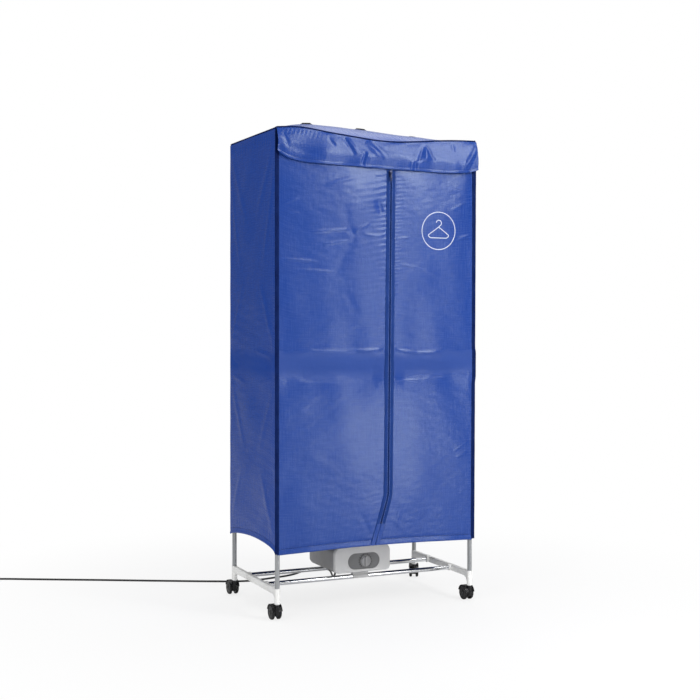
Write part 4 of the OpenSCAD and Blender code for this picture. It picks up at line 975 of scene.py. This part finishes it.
for side, name in SIDES:
    foot = zip_x(HEM_Z)
    run = []
    for t in np.linspace(0, 1, 90):
        x = side * (HINGE_X + 0.5) + t * (foot + side * 14.4 - side * (HINGE_X + 0.5))
        z = front_hem(x)
        out = np.max(front_out(np.full(4, x), z + np.array([0.0, 4, 8, 12]), side))
        run.append((Vector((x, -FACE_Y - out + 0.15, z)), -Y, Z))
    for piece in hem_of(f"front_{name}", turned(run, side), cloth_blue, None):
        swings(piece)
    run = []
    for t in np.linspace(0.004, 0.996, 90):
        y = -FACE_Y + t * 2 * FACE_Y
        z = side_hem(y)
        across = (y + FACE_Y - 1.8) / (2 * FACE_Y - 1.8)
        out = (folds(clamp01(across), HEM_LEVEL, *SIDE_FOLDS)
               + panel_relief(y, z + 3, 21 - side) * inside(across, EDGE))
        run.append((Vector((side * (FACE_X + out), y, z)), X * side, Z))
    hem_of(f"side_{name}", turned(run, -side), SIDE_CLOTH[name])
run = []
for t in np.linspace(0.003, 0.997, 110):
    x0, x1 = -FACE_X + 1.8, right_x(HEM_Z) - 1.8
    x = x1 + t * (x0 - x1)
    out = folds(t, HEM_LEVEL, *BACK_FOLDS)
    run.append((Vector((x, FACE_Y + out, HEM_Z + 4)), Y, Z))
hem_of("back", run, cloth_shade)

flap_hem, flap_row = [], []
for t in np.linspace(0, 1, 211):
    low, high = (Vector(flap_shape(t, v)) for v in (0.0, 0.09))
    up = (high - low).normalized()
    flap_hem.append((low, (-Y - up * (-Y).dot(up)).normalized(), up))
    flap_row.append((low + up * 6.6 + flap_hem[-1][1] * 0.62, flap_hem[-1][1], up))
edge = swept("flap_hem", flap_hem, FOLD, cloth_blue, body=None)
row = stitched("flap_stitches", flap_row, thread_blue, body=None)
for piece in (edge, row):
    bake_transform(piece)

# -------- zip
# A long nylon coil zip on two navy tapes, sewn to the front's halves. It is closed:
# the slider is at the top under the flap, and the tapes part below its foot.
zip_navy = navy_tape("zip_navy", (0.011, 0.035, 0.168), (0.017, 0.047, 0.208))
coil_navy = textured(
    "coil_navy", (0.004, 0.016, 0.090), 0.4, (0.003, 0.28, 0.45), Specular_IOR_Level=0.12)
slider_navy = textured(
    "slider_navy", (0.010, 0.018, 0.075), 0.28, (0.002, 0.22, 0.38), metal=0.4,
    Coat_Weight=0.3, Coat_Roughness=0.15)
ZIP_TAPE = [(-0.5, 0), (0.35, 0), (0.62, 0.5), (0.66, 3.0), (0.5, 4.4), (0.55, 11.6),
            (0.5, 14.8), (-0.6, 14.8), (-0.7, 0.4)]
TEETH = 620
FOOT_LEVEL = 0.056  # height of the placket as a share of the zip
STOP_SECTION = [(-0.4, -1.4), (0.5, -1.4), (0.9, -0.9), (0.9, 0.9), (0.5, 1.4), (-0.4, 1.4)]


def zip_place(level, side, away):
    """A place on the zip: level runs 0 to 1 upwards, away is from the middle."""
    zm = HEM_Z + level * (FLAP_Z - HEM_Z)
    x = zip_x(zm) + side * away
    return Vector((x, -FACE_Y, front_hem(x) + level * (door_top(x) - front_hem(x))))


def zip_run(side, away, proud):
    """Places up the zip that stand proud of the cover's flat, with a slight waver."""
    run = [zip_place(level, side, away) for level in np.linspace(0, 1, 240)]
    for at in run:
        at.y -= proud + 0.12 * sin(at.z / 6.5)
    return run


for side, name in SIDES:
    run = [(at, -Y, X * -side) for at in zip_run(side, TAPE, 0.25)]
    swept(f"tape_{name}", run, turned(ZIP_TAPE, side), zip_navy,
          f"{name}_door", stands_for=[f"zip_tape_{name}"])
    for away, thread, thick in ((12.6, thread_navy, 0.28), (3.9, thread_pale, 0.6)):
        row = [(at, -Y, Z) for at in zip_run(side, away, 0.88)]
        stitched(f"tape_stitches_{name}_{int(away)}", row, thread,
                 f"{name}_door", pitch=2.9, thick=thick)
    bm = bmesh.new()
    for k in range(TEETH):
        at = zip_place((k + (0.25 if side < 0 else 0.75)) / TEETH, side, 1.35)
        tooth = Matrix.Translation(at / 1000 + STAND + Vector((0, -0.0009, 0)))
        bmesh.ops.create_icosphere(bm, subdivisions=1, radius=0.001,
                                   matrix=tooth @ Matrix.Diagonal((1.25, 0.85, 0.78, 1)))
    coil = built(f"coil_{name}", bm, coil_navy)
    bpy.ops.object.shade_smooth()
    belongs(coil, f"{name}_door")

# Below its bottom stop the zip is covered by a small split placket of the cover's cloth,
# whose two inner edges stand apart like a narrow V.
PLACKET_CUT = (0.014, 0.068)
for side, name in SIDES:
    def shape(u, v):
        level = v * FOOT_LEVEL
        at = HEM_Z + level * (FLAP_Z - HEM_Z)
        inner = zip_x(at) + side * (0.4 + 0.3 * (1 - v))
        outer = zip_x(at) + side * (14.6 - 1.2 * v)
        left, right = (outer, inner) if side < 0 else (inner, outer)
        x = left + u * (right - left)
        z = front_hem(x) - 0.6 + level * (door_top(x) - front_hem(x))
        swell = 0.5 * np.sin(pi * u) + 0.35 * np.sin(pi * v) * np.sin(2 * pi * (u + v))
        return x, -FACE_Y - 2.1 - swell, z
    cloth(f"placket_{name}", 16, 36, shape, PLACKET_CUT, cloth_blue, body=f"{name}_door",
          thick=0.0005)
    seam = []
    for v in np.linspace(0.02, 0.98, 40):
        x, y, z = shape(0.93 if side < 0 else 0.07, v)
        seam.append((Vector((x, y - 0.05, z)), -Y, Z))
    stitched(f"placket_stitches_{name}", seam, thread_navy, f"{name}_door")
    stop = [zip_place(0.0575 + k * 0.0012, side, 1.6) for k in (0, 1, 2)]
    swept(f"zip_stop_{name}", [(p - Y * 1.2, -Y, X * -side) for p in stop], STOP_SECTION,
          slider_navy, f"{name}_door")

form_of("slider_body", ["zip_slider"], slider_navy, body="slider", soften=0.0004)
form_of("pull_tab", ["zip_pull"], slider_navy, body="pull", soften=0.0004)

# -------- vents
# Three round black plastic vents are snapped through the roof along its ridge, with
# three slots each, so that the damp air can leave.
vent_black = glossy_nylon("vent_black", (0.02, 0.02, 0.022), 0.4)
form_of("vents", ["roof_vents"], vent_black, slot="eyelet_black", soften=0.0005)

# -------- printed mark
# A plain pale print on the right half: a thin ring round the outline of a hanger. It
# lies on the cloth and follows its folds.
mark_white = textured(
    "mark_white", (0.62, 0.66, 0.78), 0.5, (0.001, 0.42, 0.6), None,
    (0.002, (0.50, 0.55, 0.70), (0.66, 0.70, 0.80)))
MARK = (207, 1162)
RING = 58


def printed(name, lines, wide):
    """Flat ribbons of ink along lines on the right half, a hair above its cloth."""
    bm = bmesh.new()
    for line, closed in lines:
        line = [Vector((*p, 0)) for p in line]
        n = len(line)
        pairs = []
        for k, at in enumerate(line):
            back = line[k - 1] if closed or k else line[k]
            on = line[(k + 1) % n] if closed or k < n - 1 else line[k]
            ahead = (on - back).normalized()
            flank = Vector((-ahead.y, ahead.x, 0)) * wide / 2
            pair = []
            for p in (at - flank, at + flank):
                x, z = MARK[0] + p.x, MARK[1] + p.y
                out = front_out(x, z, 1)
                pair.append(bm.verts.new(Vector((x, -FACE_Y - out - 0.12, z)) / 1000 + STAND))
            pairs.append(pair)
        for k in range(n if closed else n - 1):
            a, b = pairs[k], pairs[(k + 1) % n]
            bm.faces.new((a[0], b[0], b[1], a[1]))
    for face in bm.faces:
        face.normal_update()
        if face.normal.y > 0:
            face.normal_flip()
    piece = built(name, bm, mark_white)
    thicken(piece, 0.0002, 1)
    belongs(piece, "right_door")


def rounded_line(corners, radius, steps=6):
    """The corners joined by straight lines, each corner rounded."""
    out = [corners[0]]
    for a, b, c in zip(corners, corners[1:], corners[2:]):
        a, b, c = Vector(a), Vector(b), Vector(c)
        cut = min(radius, (a - b).length / 2, (c - b).length / 2)
        p, q = b + (a - b).normalized() * cut, b + (c - b).normalized() * cut
        for k in range(steps + 1):
            t = k / steps
            out.append(tuple(p * (1 - t) ** 2 + b * 2 * t * (1 - t) + q * t * t))
    return out + [corners[-1]]


ring = [(RING * cos(a), RING * sin(a)) for a in np.linspace(0, 2 * pi, 97)[:-1]]
shoulders = rounded_line([(0, 12), (37, -14), (30, -22), (-30, -22), (-37, -14), (0, 12)], 7)
hook = [(9 * cos(a), 24 + 9 * sin(a)) for a in np.linspace(radians(170), radians(-60), 20)]
hook = hook + [(0, 13)]
printed("printed_mark", [(ring, True), (shoulders, False), (hook, False)], 2.4)
